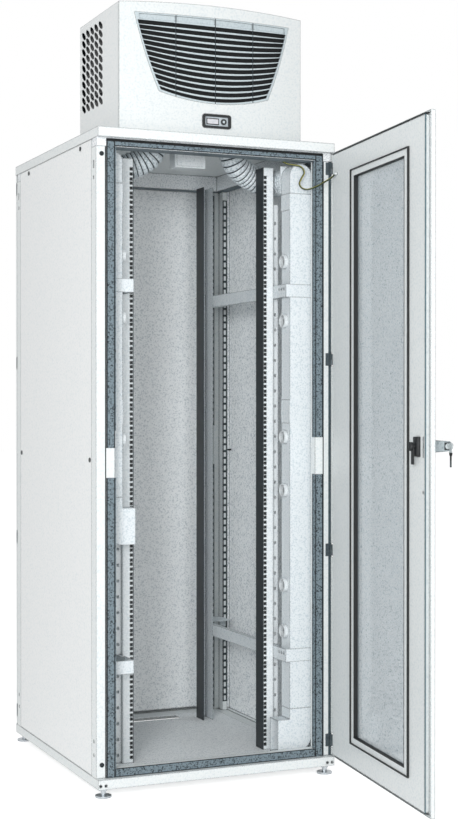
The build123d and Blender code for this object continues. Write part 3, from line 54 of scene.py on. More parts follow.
# Camera at the photograph's viewing angle
CAMERA_PLACE = (-1.900, -4.850, 1.201)
CAMERA_PITCH = radians(90 - 0.345)
CAMERA_YAW = radians(-23.68)
CAMERA_LENS = 67.64
CAMERA_SENSOR = 36.0
CAMERA_REACH = 100.0

camera_data = bpy.data.cameras.new("photo_camera")
camera_data.sensor_fit = "AUTO"
camera_data.sensor_width = CAMERA_SENSOR
camera_data.lens = CAMERA_LENS
camera_data.clip_end = CAMERA_REACH
camera = bpy.data.objects.new("photo_camera", camera_data)
camera.location = CAMERA_PLACE
camera.rotation_euler = (CAMERA_PITCH, 0.0, CAMERA_YAW)
bpy.context.scene.collection.objects.link(camera)
bpy.context.scene.camera = camera

# The front door's own directions while it stands open: along it, out of it
DOOR_OPEN = 82.5
DOOR_ANGLE = radians(180 + DOOR_OPEN)
DOOR_PIN = Vector((396, -438, 0))
DOOR_ALONG = Vector((cos(DOOR_ANGLE), sin(DOOR_ANGLE), 0))
DOOR_OUT = Vector((-sin(DOOR_ANGLE), cos(DOOR_ANGLE), 0))


def on_door(along, out, up):
    """A point given in the open door's own millimetres, in metres."""
    return (DOOR_PIN + DOOR_ALONG * along + DOOR_OUT * out + Vector((0, 0, up))) * MM


# Materials

# Painted shade: the colours that darken creases where pieces meet and the lines along edges
CREASE_SHADE = "232C31"
CREASE_REACH = 10.0
EDGE_SHADE = "2A363C"
EDGE_RADIUS = 4.5
GRAIN_DEPTH = 0.3
ROUGHNESS_SWING = 0.08


def linear(hex_value):
    """An sRGB hex colour as the linear values that a shader takes."""
    parts = [int(hex_value[i : i + 2], 16) / 255 for i in (0, 2, 4)]
    return [c / 12.92 if c <= 0.04045 else ((c + 0.055) / 1.055) ** 2.4 for c in parts] + [1.0]


def add(tree, kind, settings=None, links=None):
    """Adds a node, sets its properties or sockets, and links other nodes' outputs to it."""
    made = tree.nodes.new(kind)
    for key, value in (settings or {}).items():
        if isinstance(key, str) and hasattr(made, key):
            setattr(made, key, value)
        else:
            made.inputs[key].default_value = value
    for key, output in (links or {}).items():
        tree.links.new(output, made.inputs[key])
    return made


def new_material(name):
    material = bpy.data.materials.new(name)
    material.use_nodes = True
    material.node_tree.nodes.clear()
    return material, material.node_tree


def finish_material(tree, sockets, links):
    """The Principled shader with its own values, then the output."""
    shader = add(tree, "ShaderNodeBsdfPrincipled", sockets, links)
    add(tree, "ShaderNodeOutputMaterial", {}, {"Surface": shader.outputs["BSDF"]})


def inside_zone(tree, place, limits):
    """One inside the given ranges, in millimetres, of x, y, z or their absolute values."""
    parts = add(tree, "ShaderNodeSeparateXYZ", {}, {"Vector": place})
    mask = None
    for axis, low, high in limits:
        value = parts.outputs[axis[-1].upper()]
        if axis.startswith("abs"):
            size = add(tree, "ShaderNodeMath", {"operation": "ABSOLUTE"}, {0: value})
            value = size.outputs["Value"]
        within = add(
            tree,
            "ShaderNodeMath",
            {"operation": "COMPARE", 1: (low + high) / 2 * MM, 2: (high - low) / 2 * MM},
            {0: value},
        ).outputs["Value"]
        if mask is not None:
            both = add(tree, "ShaderNodeMath", {"operation": "MULTIPLY"}, {0: within, 1: mask})
            within = both.outputs["Value"]
        mask = within
    return mask


def plain_zone(colour, *limits):
    """A zone of one colour, with no flecks of its own."""
    return colour, limits, colour


def surface(
    name, colour, fleck, share=0.35, fleck_mm=5.0, grain_mm=1.6, roughness=0.42, bump=0.1,
    metallic=0.0, crease_shade_amount=0.75, zones=(), edge=0.0, under=None,
):
    """A coated, plated or moulded surface: grain in the bump, flecks in the colour, painted shade
    in the creases where pieces meet, painted shade along folded edges, painted shade on the
    underside, and zones of another colour given by their place on the piece."""
    material, tree = new_material(name)
    place = add(tree, "ShaderNodeTexCoord").outputs["Object"]
    grain = add(
        tree, "ShaderNodeTexNoise", {"Scale": 1 / (grain_mm * MM), "Detail": 3.0}, {"Vector": place}
    )
    flecks = add(
        tree,
        "ShaderNodeTexNoise",
        {"Scale": 1 / (fleck_mm * MM), "Detail": 2.0, "Roughness": 0.65},
        {"Vector": place},
    )
    amount = add(
        tree,
        "ShaderNodeMapRange",
        {"From Min": 0.48, "From Max": 0.66, "To Min": 0.0, "To Max": share},
        {"Value": flecks.outputs["Fac"]},
    )
    tint = add(
        tree,
        "ShaderNodeMix",
        {"data_type": "RGBA", 6: linear(colour), 7: linear(fleck)},
        {0: amount.outputs["Result"]},
    ).outputs[2]
    facing = add(tree, "ShaderNodeNewGeometry").outputs["Normal"]
    # Painted shade on the faces that look downwards
    if under:
        fall = add(tree, "ShaderNodeSeparateXYZ", {}, {"Vector": facing}).outputs["Z"]
        below = add(tree, "ShaderNodeMath", {"operation": "LESS_THAN", 1: -0.5}, {0: fall})
        tint = add(
            tree,
            "ShaderNodeMix",
            {"data_type": "RGBA", 7: linear(under)},
            {0: below.outputs["Value"], 6: tint},
        ).outputs[2]
    for zone_colour, limits, zone_fleck in zones:
        zone_tint = add(
            tree,
            "ShaderNodeMix",
            {"data_type": "RGBA", 6: linear(zone_colour), 7: linear(zone_fleck)},
            {0: amount.outputs["Result"]},
        )
        tint = add(
            tree,
            "ShaderNodeMix",
            {"data_type": "RGBA"},
            {0: inside_zone(tree, place, limits), 6: tint, 7: zone_tint.outputs[2]},
        ).outputs[2]
    # Painted shade: ambient occlusion darkens the colour in creases and corners where pieces meet
    if crease_shade_amount:
        corner = add(
            tree, "ShaderNodeAmbientOcclusion", {"samples": 4, "Distance": CREASE_REACH * MM}
        )
        depth = add(
            tree,
            "ShaderNodeMapRange",
            {"From Min": 0.3, "From Max": 0.62, "To Min": crease_shade_amount, "To Max": 0.0},
            {"Value": corner.outputs["AO"]},
        )
        tint = add(
            tree,
            "ShaderNodeMix",
            {"data_type": "RGBA", 7: linear(CREASE_SHADE)},
            {0: depth.outputs["Result"], 6: tint},
        ).outputs[2]
    # Painted shade: a dark line along folded edges, where the bevelled normal turns away from the
    # face's own
    if edge:
        rounded = add(tree, "ShaderNodeBevel", {"samples": 4, "Radius": EDGE_RADIUS * MM})
        bend = add(
            tree,
            "ShaderNodeVectorMath",
            {"operation": "DOT_PRODUCT"},
            {0: facing, 1: rounded.outputs["Normal"]},
        )
        edge_shade_mix = add(
            tree,
            "ShaderNodeMapRange",
            {"From Min": 0.8, "From Max": 0.98, "To Min": edge, "To Max": 0.0},
            {"Value": bend.outputs["Value"]},
        )
        tint = add(
            tree,
            "ShaderNodeMix",
            {"data_type": "RGBA", 7: linear(EDGE_SHADE)},
            {0: edge_shade_mix.outputs["Result"], 6: tint},
        ).outputs[2]
    rough = add(
        tree,
        "ShaderNodeMapRange",
        {
            "From Min": 0.3,
            "From Max": 0.7,
            "To Min": roughness - ROUGHNESS_SWING,
            "To Max": roughness + ROUGHNESS_SWING,
        },
        {"Value": grain.outputs["Fac"]},
    )
    relief = add(
        tree,
        "ShaderNodeBump",
        {"Strength": bump, "Distance": GRAIN_DEPTH * MM},
        {"Height": grain.outputs["Fac"]},
    )
    finish_material(
        tree,
        {"Metallic": metallic},
        {
            "Base Color": tint,
            "Roughness": rough.outputs["Result"],
            "Normal": relief.outputs["Normal"],
        },
    )
    return material


# Polyester powder coat, sprayed and baked: near-white, with a fine orange peel
powder_coat = surface("powder_coat_light_grey", "E4E8E8", "CBD5D9", 0.6, 6.0, edge=0.85)
# The same coat on the front posts: painted shade in the gap beside the foam, and the open door's
# painted shadow on the post beside the hinge
FOAM_GAP_SHADE = [("absx", 367.4, 371.4), ("y", -431, -429)]
HINGE_DOOR_SHADE = [("x", 388, 400.2), ("y", -431, -429)]
post_coat = surface(
    "powder_coat_post", "E4E8E8", "CBD5D9", 0.6, 6.0, edge=0.85,
    zones=[plain_zone("1A2226", *FOAM_GAP_SHADE), ("46555C", HINGE_DOOR_SHADE, "1A2226")],
)
# The same coat on the side panels; their inner face gets a lighter copy with dark specks, painted
# light and shade for the inside of the cabinet
PANEL_INSIDE_LIGHT_AND_SHADE = [("absx", 382, 399.2)]
panel_coat = surface(
    "powder_coat_panel", "EFF1F1", "D8E0E3", 0.6, 6.0, edge=0.85,
    zones=[("F8FBFC", PANEL_INSIDE_LIGHT_AND_SHADE, "7C8F9B")],
)
# Epoxy primer on the inner sheets: pale blue-grey with darker specks, its base lifted near white as
# painted light for the dim inside of the cabinet
inner_coat = surface(
    "epoxy_primer_inner", "F8FBFC", "7C8F9B", 0.45, 5.0,
    grain_mm=1.8, roughness=0.5, bump=0.14, edge=0.85,
)
# The top frame in the same primer, its base lifted near white as painted light, with painted shade
# underneath behind the foam
frame_coat = surface(
    "epoxy_primer_top_frame", "F2F5F7", "8496A1", 0.6, 5.0,
    grain_mm=1.8, roughness=0.5, bump=0.14, edge=0.75, under="59666D",
)
# The same primer, thinner over bright sheet, on the ducts and brackets
duct_coat = surface(
    "epoxy_primer_duct", "DEE4E7", "A9BAC3", 0.55, 5.5,
    grain_mm=1.8, roughness=0.48, bump=0.12, edge=0.85,
)
# Smooth lacquer on the roof unit's deep-drawn sheet
unit_coat = surface(
    "lacquered_unit_sheet", "DBDFDF", "C5CFD3", 0.6, 6.0,
    grain_mm=1.2, roughness=0.4, bump=0.06, edge=0.85,
)
# The grille in the same lacquer, its ribs and the shaded ends of its cells darker
GRILLE_SIDE_RIBS = ("absx", 129.6, 132.4)
GRILLE_MIDDLE_RIB = ("x", -1.4, 1.4)
grille_coat = surface(
    "lacquered_grille", "BCC7CB", "98A7AE", 0.5, 5.0,
    grain_mm=1.2, roughness=0.36, bump=0.06, crease_shade_amount=0.9, under="121618",
    zones=[plain_zone("20282C", GRILLE_SIDE_RIBS), plain_zone("20282C", GRILLE_MIDDLE_RIB)],
)
# Lacquer on the roof unit's folded housing: light outside, with painted shade on its inside where
# the vents show it
HOUSING_INSIDE_SHADE = [("absx", 0, 309.4), ("y", -376, -6.4), ("z", 2027.5, 2426)]
housing_coat = surface(
    "lacquered_housing_sheet", "E5E8E8", "D0D9DC", 0.6, 6.0,
    grain_mm=1.2, roughness=0.34, bump=0.06, crease_shade_amount=0.5, edge=0.6,
    zones=[plain_zone("141A1D", *HOUSING_INSIDE_SHADE)],
)
# Zinc-plated steel, passivated: dull silver with faint cloudy patches
zinc_plate = surface(
    "zinc_plated_steel", "B9BEC2", "9BA1A6", 0.7, 8.0,
    grain_mm=0.8, roughness=0.36, bump=0.06, metallic=1.0,
)
# Polyurethane foam strip: open grey pores, with painted shade along its edges and on its inner leg,
# and the roof rim's painted shadow across its head
FOAM_OUTER_EDGE_SHADE = ("absx", 363.8, 368)
FOAM_INNER_EDGE_SHADE = ("absx", 339.5, 343)
FOAM_INNER_LEG_SHADE = [("absx", 300, 340.2), ("absy", 400, 418)]
# The roof rim's painted shadow across the top of the head strip
FOAM_HEAD_RIM_SHADOW = [("z", 1986.5, 1999), ("absx", 0, 370)]
FOAM_HEAD_LIP_SHADE = [("z", 1971, 1975.5), ("absx", 0, 343)]
foam = surface(
    "polyurethane_foam", "74838B", "161C20", 0.95, 5.0,
    grain_mm=2.4, roughness=0.92, bump=0.7, crease_shade_amount=0.9,
    zones=[
        plain_zone("101417", FOAM_OUTER_EDGE_SHADE),
        plain_zone("101417", FOAM_INNER_EDGE_SHADE),
        plain_zone("101417", *FOAM_INNER_LEG_SHADE),
        plain_zone("0C0F11", *FOAM_HEAD_RIM_SHADOW),
        plain_zone("101417", *FOAM_HEAD_LIP_SHADE),
    ],
)
# The same foam on the threshold, with painted shade along its lower and its upper edge
THRESHOLD_LOW_EDGE_SHADE = ("z", 57.0, 59.4)
THRESHOLD_TOP_EDGE_SHADE = ("z", 81.4, 84.0)
threshold_coat = surface(
    "polyurethane_foam_strip", "74838B", "161C20", 0.95, 5.0,
    grain_mm=2.4, roughness=0.92, bump=0.7, crease_shade_amount=0.9,
    zones=[plain_zone("101417", THRESHOLD_LOW_EDGE_SHADE), plain_zone("101417", THRESHOLD_TOP_EDGE_SHADE)],
)
# Moulded ABS, black and grainy
black_abs = surface(
    "moulded_abs_black", "15181A", "24282B", 0.5, 9.0,
    grain_mm=0.7, roughness=0.5, bump=0.2, crease_shade_amount=0,
)
# The display's frame in black ABS, with a light plate in its floor
DISPLAY_PLATE = ("y", -408.6, -390)
display_abs = surface(
    "moulded_abs_display", "111416", "1D2124", 0.5, 8.0,
    grain_mm=0.7, roughness=0.45, bump=0.15, crease_shade_amount=0.4,
    zones=[plain_zone("C9D3D9", DISPLAY_PLATE)],
)
# The round button in black ABS, with a light dimple
BUTTON_DIMPLE = [("x", 24.2, 31.8), ("z", 2071.2, 2078.8)]
button_abs = surface(
    "moulded_abs_button", "111416", "1D2124", 0.5, 8.0,
    grain_mm=0.7, roughness=0.45, bump=0.15, crease_shade_amount=0,
    zones=[plain_zone("B9C4C9", *BUTTON_DIMPLE)],
)
# Moulded ABS, light grey
grey_abs = surface("moulded_abs_grey", "DCE1E3", "A9B5BC", 0.5, 4.5, grain_mm=0.7, bump=0.12)
# Die-cast lever, lacquered light grey; its pivot and the key's plug are black, and painted shade
# draws black lines along its two long edges
LEVER_PIVOT = ("x", 325, 335)
LEVER_PLUG = [("x", 373, 395), ("z", 1063, 1085), ("y", -1166, -1150)]
LEVER_TOP_EDGE_SHADE = ("z", 1089.2, 1092.4)
LEVER_LOW_EDGE_SHADE = ("z", 1055.6, 1058.8)
lever_lacquer = surface(
    "lacquered_die_casting", "B0BBBF", "717E84", 0.7, 4.0,
    grain_mm=0.9, roughness=0.4, edge=0.9,
    zones=[
        plain_zone("0E1113", LEVER_PIVOT),
        plain_zone("0E1113", *LEVER_PLUG),
        plain_zone("14181A", LEVER_TOP_EDGE_SHADE),
        plain_zone("14181A", LEVER_LOW_EDGE_SHADE),
    ],
)
# Black lacquer on cast iron and on the unit's inner sheets
cast_lacquer = surface(
    "black_lacquered_casting", "0F1214", "1A1E20", 0.5, 9.0, grain_mm=1.5, roughness=0.45, bump=0.2
)
# Rolled aluminium fins
fin_metal = surface(
    "rolled_aluminium_fins", "C9CDD0", "B2B7BB", 0.5, 9.0,
    grain_mm=0.8, roughness=0.35, metallic=1.0,
)
# Non-woven filter mat, nearly black, fibrous
filter_mat = surface(
    "filter_fleece_dark", "07090A", "12171A", 0.7, 6.0,
    grain_mm=1.1, roughness=0.95, bump=0.6, crease_shade_amount=0,
)
# Perforated strip of blued steel on the rear posts
strip_steel = surface(
    "blued_steel_strip", "1F2C32", "0F171B", 0.6, 6.0, grain_mm=0.8, roughness=0.45, crease_shade_amount=0
)
# Hinge halves of cast zinc, lacquered dark
hinge_cast = surface(
    "lacquered_zinc_casting", "4A555A", "2A3236", 0.6, 5.0, grain_mm=0.9, roughness=0.4
)
# Blackened screw heads
black_screw = surface(
    "blackened_steel", "23282B", "3A4145", 0.5, 4.0,
    grain_mm=0.8, roughness=0.4, metallic=0.6, crease_shade_amount=0,
)
# Rails of coated sheet: bright flange, painted shade on the web beside the equipment
RAIL_WEB_SHADE = [("absx", 224, 227.2), ("y", -283, -220)]
REAR_RAIL_WEB_SHADE = [("absx", 224, 227.2), ("y", 200, 300)]
rail_coat = surface(
    "powder_coat_rail", "E4E9EB", "BECAD0", 0.5, 5.0, edge=0.85,
    zones=[plain_zone("1C2327", *RAIL_WEB_SHADE)],
)
# Painted shade: the rear rails get a darker, more flecked copy of the same coat, for their place
# deep inside
rear_rail_shaded_coat = surface(
    "powder_coat_rear_rail_shaded", "DCE3E7", "8FA1AB", 0.6, 5.0, edge=0.85,
    zones=[plain_zone("1C2327", *REAR_RAIL_WEB_SHADE)],
)
# Key: nickel-plated bow, dark shoulder in the plug; the hanging key has a black plastic cover
KEY_SHOULDER = ("y", -1153.6, -1100)
HANGING_COVER = ("z", 1036, 1057)
HANGING_BLADE = ("z", 1000, 1036)
key_metal = surface(
    "nickel_plated_key", "C5CCCE", "8A9498", 0.5, 3.0,
    grain_mm=0.6, roughness=0.35, bump=0.05, metallic=0.2, crease_shade_amount=0.5,
    zones=[
        plain_zone("0E1113", KEY_SHOULDER),
        plain_zone("0E1113", HANGING_COVER),
        plain_zone("4A5154", HANGING_BLADE),
    ],
)
# Extruded rubber, black round the window; slate grey strips of painted shade in the gaps at the
# door's two sides
rubber = surface(
    "extruded_rubber_black", "0D1012", "1B2023", 0.5, 6.0,
    grain_mm=1.0, roughness=0.6, bump=0.2, crease_shade_amount=0,
)
gap_shade_slate = surface(
    "painted_gap_shade_slate", "3E6470", "27454F", 0.6, 6.0,
    grain_mm=1.0, roughness=0.6, bump=0.2, crease_shade_amount=0,
)


def make_hose_skin():
    """PVC film over a wire spiral: pale speckled bands with painted shade in the grooves between
    them.
    """
    material, tree = new_material("pvc_hose_over_wire")
    coordinates = add(tree, "ShaderNodeTexCoord")
    flecks = add(
        tree,
        "ShaderNodeTexNoise",
        {"Scale": 1 / (6 * MM), "Detail": 3.0},
        {"Vector": coordinates.outputs["Object"]},
    )
    amount = add(
        tree,
        "ShaderNodeMapRange",
        {"From Min": 0.45, "From Max": 0.68, "To Min": 0.0, "To Max": 0.7},
        {"Value": flecks.outputs["Fac"]},
    )
    tint = add(
        tree,
        "ShaderNodeMix",
        {"data_type": "RGBA", 6: linear("DDE4E8"), 7: linear("71858F")},
        {0: amount.outputs["Result"]},
    )
    parts = add(tree, "ShaderNodeSeparateXYZ", {}, {"Vector": coordinates.outputs["UV"]})
    turn = add(tree, "ShaderNodeMath", {"operation": "ADD", 1: 0.5}, {0: parts.outputs["Y"]})
    phase = add(tree, "ShaderNodeMath", {"operation": "FRACT"}, {0: turn.outputs["Value"]})
    # Painted shade in the grooves between the ribs
    groove_shade = add(
        tree,
        "ShaderNodeMath",
        {"operation": "COMPARE", 1: 0.5, 2: 0.1},
        {0: phase.outputs["Value"]},
    )
    dark = add(
        tree,
        "ShaderNodeMix",
        {"data_type": "RGBA", 7: linear("1D272C")},
        {0: groove_shade.outputs["Value"], 6: tint.outputs[2]},
    )
    finish_material(tree, {"Roughness": 0.5}, {"Base Color": dark.outputs[2]})
    return material


def make_glass():
    """Float glass with a pale grey speckled screen print that dims the view through it."""
    material, tree = new_material("float_glass")
    place = add(tree, "ShaderNodeTexCoord").outputs["Object"]
    speckle = add(
        tree,
        "ShaderNodeTexNoise",
        {"Scale": 1 / (6 * MM), "Detail": 3.0, "Roughness": 0.7},
        {"Vector": place},
    )
    haze = add(
        tree,
        "ShaderNodeMapRange",
        {"From Min": 0.38, "From Max": 0.66, "To Min": 0.45, "To Max": 0.8},
        {"Value": speckle.outputs["Fac"]},
    )
    specks = add(
        tree,
        "ShaderNodeMapRange",
        {"From Min": 0.5, "From Max": 0.64, "To Min": 0.0, "To Max": 0.85},
        {"Value": speckle.outputs["Fac"]},
    )
    tint = add(
        tree,
        "ShaderNodeMix",
        {"data_type": "RGBA", 6: linear("CBD6DB"), 7: linear("61757F")},
        {0: specks.outputs["Result"]},
    )
    finish_material(
        tree,
        {"Roughness": 0.06, "IOR": 1.45, "Specular IOR Level": 0.6},
        {"Base Color": tint.outputs[2], "Alpha": haze.outputs["Result"]},
    )
    return material


DISPLAY_PANE = [("x", -26.4, 10.4), ("z", 2067.6, 2082.4)]


def make_display():
    """Liquid crystal panel behind a clear lens: pale and glossy, with a black border."""
    material, tree = new_material("liquid_crystal_panel")
    place = add(tree, "ShaderNodeTexCoord").outputs["Object"]
    cells = add(
        tree, "ShaderNodeTexNoise", {"Scale": 1 / (6 * MM), "Detail": 1.0}, {"Vector": place}
    )
    tint = add(
        tree,
        "ShaderNodeMix",
        {"data_type": "RGBA", 6: linear("DAD8DC"), 7: linear("BCC0C6")},
        {0: cells.outputs["Fac"]},
    )
    framed = add(
        tree,
        "ShaderNodeMix",
        {"data_type": "RGBA", 6: linear("14191C")},
        {0: inside_zone(tree, place, DISPLAY_PANE), 7: tint.outputs[2]},
    )
    finish_material(
        tree, {"Roughness": 0.12, "Coat Weight": 0.5}, {"Base Color": framed.outputs[2]}
    )
    return material


def make_earth_sleeve():
    """PVC sleeve of an earth lead: dark green with an olive-yellow stripe along it."""
    material, tree = new_material("pvc_sleeve_green_yellow")
    uv = add(tree, "ShaderNodeTexCoord").outputs["UV"]
    parts = add(tree, "ShaderNodeSeparateXYZ", {}, {"Vector": uv})
    stripe = add(
        tree, "ShaderNodeMath", {"operation": "LESS_THAN", 1: 0.3}, {0: parts.outputs["X"]}
    )
    tint = add(
        tree,
        "ShaderNodeMix",
        {"data_type": "RGBA", 6: linear("1E2D17"), 7: linear("8E8A33")},
        {0: stripe.outputs["Value"]},
    )
    finish_material(tree, {"Roughness": 0.4}, {"Base Color": tint.outputs[2]})
    return material


hose_skin = make_hose_skin()
glass = make_glass()
display_lens = make_display()
earth_sleeve = make_earth_sleeve()

finishes = {
    "powder_coat": powder_coat,
    "inner_sheet": inner_coat,
    "unit_paint": unit_coat,
    "black_plastic": black_abs,
    "grey_plastic": grey_abs,
    "foam": foam,
    "zinc": zinc_plate,
    "glass": glass,
    "hose": hose_skin,
    "cable": earth_sleeve,
    "display": display_lens,
    "fins": fin_metal,
    "cast": cast_lacquer,
}
own_finishes = {
    "side_panel_left": panel_coat,
    "side_panel_right": panel_coat,
    "front_door_frame": powder_coat,
    "duct_hoods": duct_coat,
    "duct_riser_left": duct_coat,
    "duct_riser_right": duct_coat,
    "duct_outlets": duct_coat,
    "channel_brackets": duct_coat,
    "depth_channels": duct_coat,
    "rack_rail_front_left": rail_coat,
    "rack_rail_front_right": rail_coat,
    "rack_rail_rear_left": rear_rail_shaded_coat,
    "rack_rail_rear_right": rear_rail_shaded_coat,
    "ac_grille": grille_coat,
    "ac_filter_mat": filter_mat,
    "ac_display_frame": display_abs,
    "ac_display_button": button_abs,
    "ac_fan_carrier": cast_lacquer,
    "ac_base_tray": cast_lacquer,
    "cabinet_screws": black_screw,
    "hinge_brackets": hinge_cast,
    "front_door_hinges": hinge_cast,
    "rear_door_hinges": hinge_cast,
    "post_strips": strip_steel,
    "post_front_left": post_coat,
    "post_front_right": post_coat,
    "top_frame": frame_coat,
    "front_handle_lever": lever_lacquer,
    "front_door_key": key_metal,
}


def dress(obj, material):
    obj.data.materials.clear()
    obj.data.materials.append(material)


for part in frame["record"]["subparts"]:
    name = part["node"]
    dress(nodes[name], own_finishes.get(name, finishes[part["material_slot"]]))

# Ways of making a piece

# A face whose normal has more than this along an axis looks along that axis
FACING = 0.9
BEVEL_ANGLE = 40
TUBE_SMOOTH_ANGLE = 40


def clear_selection():
    bpy.ops.object.select_all(action="DESELECT")


def make_active(obj):
    clear_selection()
    obj.select_set(True)
    bpy.context.view_layer.objects.active = obj


def seat(obj, material, body, smooth_deg=None):
    """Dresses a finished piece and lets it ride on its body."""
    dress(obj, material)
    if smooth_deg:
        make_active(obj)
        bpy.ops.object.shade_smooth_by_angle(angle=radians(smooth_deg))
    clear_selection()
    if body:
        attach(obj, body)
    return obj


def settle(obj):
    """Applies a piece's place, so that it stands at the origin."""
    make_active(obj)
    bpy.ops.object.transform_apply(location=True, rotation=True, scale=True)
    clear_selection()


def bar(name, low, high):
    """A cube pulled out between two corners, in millimetres."""
    clear_selection()
    middle = [(a + b) / 2 * MM for a, b in zip(low, high)]
    bpy.ops.mesh.primitive_cube_add(size=1, location=middle)
    obj = bpy.context.object
    obj.name = name
    obj.scale = [abs(b - a) * MM for a, b in zip(low, high)]
    settle(obj)
    return obj


def round_bar(place, radius_mm, length_mm, turn_x, sides=32):
    """A cylinder turned about X from upright, with its middle at a place in millimetres."""
    clear_selection()
    bpy.ops.mesh.primitive_cylinder_add(
        vertices=sides, radius=radius_mm * MM, depth=length_mm * MM,
        location=[value * MM for value in place], rotation=(turn_x, 0, 0),
    )
    obj = bpy.context.object
    settle(obj)
    return obj


def apply_modifier(obj, kind, **settings):
    make_active(obj)
    modifier = obj.modifiers.new(kind.lower(), kind)
    for key, value in settings.items():
        setattr(modifier, key, value)
    bpy.ops.object.modifier_apply(modifier=modifier.name)
    clear_selection()


def round_edges(obj, radius_mm, segments=2):
    apply_modifier(
        obj, "BEVEL", width=radius_mm * MM, segments=segments, limit_method="ANGLE",
        angle_limit=radians(BEVEL_ANGLE),
    )


def give_wall(obj, thickness_mm):
    """Gives an open shell its sheet thickness, inwards from its outer face."""
    apply_modifier(
        obj, "SOLIDIFY", thickness=thickness_mm * MM, offset=-1.0, use_even_offset=True
    )


def edit_faces(obj, chosen, *steps):
    """Selects the faces that a test picks, then runs edit-mode steps on them."""
    make_active(obj)
    bpy.ops.object.mode_set(mode="EDIT")
    bpy.ops.mesh.select_mode(type="FACE")
    bpy.ops.mesh.select_all(action="DESELECT")
    shell = bmesh.from_edit_mesh(obj.data)
    for face in shell.faces:
        if chosen(face):
            face.select_set(True)
    bmesh.update_edit_mesh(obj.data)
    for operator, settings in steps:
        operator(**settings)
    bpy.ops.object.mode_set(mode="OBJECT")
    clear_selection()


def cut_away(obj, chosen):
    """Deletes the faces that a test picks."""
    edit_faces(obj, chosen, (bpy.ops.mesh.delete, {"type": "FACE"}))


def open_ring(obj, axis, border_mm):
    """Turns a bar into a ring by insetting its two faces across an axis and joining them."""
    edit_faces(
        obj,
        lambda face: abs(face.normal[axis]) > FACING,
        (bpy.ops.mesh.inset, {"thickness": border_mm * MM}),
        (bpy.ops.mesh.bridge_edge_loops, {}),
    )


def join(kept, others):
    """Joins other pieces to one."""
    clear_selection()
    for obj in (*others, kept):
        obj.select_set(True)
    bpy.context.view_layer.objects.active = kept
    bpy.ops.object.join()


def turn_to_door(obj):
    """Takes a piece from the closed door's axes, X along and Y out, to the open door."""
    along, out = DOOR_ALONG, DOOR_OUT
    place = Matrix(
        (
            (along.x, out.x, 0, DOOR_PIN.x * MM),
            (along.y, out.y, 0, DOOR_PIN.y * MM),
            (0, 0, 1, 0),
            (0, 0, 0, 1),
        )
    )
    obj.data.transform(place)
    obj.data.update()


def face_out(obj):
    """Merges doubled points and turns every face outwards."""
    make_active(obj)
    bpy.ops.object.mode_set(mode="EDIT")
    bpy.ops.mesh.select_all(action="SELECT")
    bpy.ops.mesh.remove_doubles(threshold=1e-6)
    bpy.ops.mesh.normals_make_consistent(inside=False)
    bpy.ops.object.mode_set(mode="OBJECT")
    clear_selection()


def place_mesh(name, vertices, faces, material, body, smooth_deg=None):
    """A closed mesh from points and faces, which rides on a body."""
    mesh = bpy.data.meshes.new(name)
    mesh.from_pydata([tuple(v) for v in vertices], [], faces)
    mesh.update()
    obj = bpy.data.objects.new(name, mesh)
    bpy.context.scene.collection.objects.link(obj)
    shell = bmesh.new()
    shell.from_mesh(mesh)
    bmesh.ops.recalc_face_normals(shell, faces=shell.faces)
    shell.to_mesh(mesh)
    shell.free()
    return seat(obj, material, body, smooth_deg)


def smooth_line(points, count, order=3):
    """Points along a NURBS curve whose control points are given, ends included."""
    curve = bpy.data.curves.new("line", "CURVE")
    curve.dimensions = "3D"
    curve.resolution_u = count
    spline = curve.splines.new("NURBS")
    spline.points.add(len(points) - 1)
    for point, place in zip(spline.points, points):
        point.co = (*place, 1.0)
    spline.order_u = order
    spline.use_endpoint_u = True
    holder = bpy.data.objects.new("line", curve)
    bpy.context.scene.collection.objects.link(holder)
    bpy.context.view_layer.update()
    mesh = bpy.data.meshes.new_from_object(holder)
    line = [v.co.copy() for v in mesh.vertices]
    bpy.data.objects.remove(holder)
    return line


def even_line(line, step):
    """The same line in steps of one length."""
    total = sum((b - a).length for a, b in zip(line, line[1:]))
    count = max(2, round(total / step))
    step = total / count
    points, carried = [line[0].copy()], 0.0
    for a, b in zip(line, line[1:]):
        run = (b - a).length
        while carried + run >= step and len(points) < count:
            a = a + (b - a).normalized() * (step - carried)
            run = (b - a).length
            carried = 0.0
            points.append(a.copy())
        carried += run
    points.append(line[-1].copy())
    return points


def tube(name, line, radii, sides, material, body, rings_per_turn=1):
    """A closed tube along a line, with a radius at each of its points."""
    vertices, faces = [], []
    side = None
    for i, centre in enumerate(line):
        ahead = line[min(i + 1, len(line) - 1)] - line[max(i - 1, 0)]
        ahead.normalize()
        if side is None:
            side = Vector((0, 0, 1)) - ahead * ahead.z
            if side.length < 0.1:
                side = Vector((1, 0, 0)) - ahead * ahead.x
        side = (side - ahead * side.dot(ahead)).normalized()
        across = ahead.cross(side)
        for k in range(sides):
            turn = 2 * pi * k / sides
            vertices.append(centre + (side * cos(turn) + across * sin(turn)) * radii[i])
        if i:
            low, high = (i - 1) * sides, i * sides
            for k in range(sides):
                n = (k + 1) % sides
                faces.append((low + k, low + n, high + n, high + k))
    faces.append(tuple(range(sides)))
    faces.append(tuple(range((len(line) - 1) * sides, len(line) * sides)))
    obj = place_mesh(name, vertices, faces, material, body, TUBE_SMOOTH_ANGLE)
    layer = obj.data.uv_layers.new(name="along")
    for loop in obj.data.loops:
        ring = loop.vertex_index // sides
        layer.data[loop.index].uv = ((loop.vertex_index % sides) / sides, ring / rings_per_turn)
    return obj


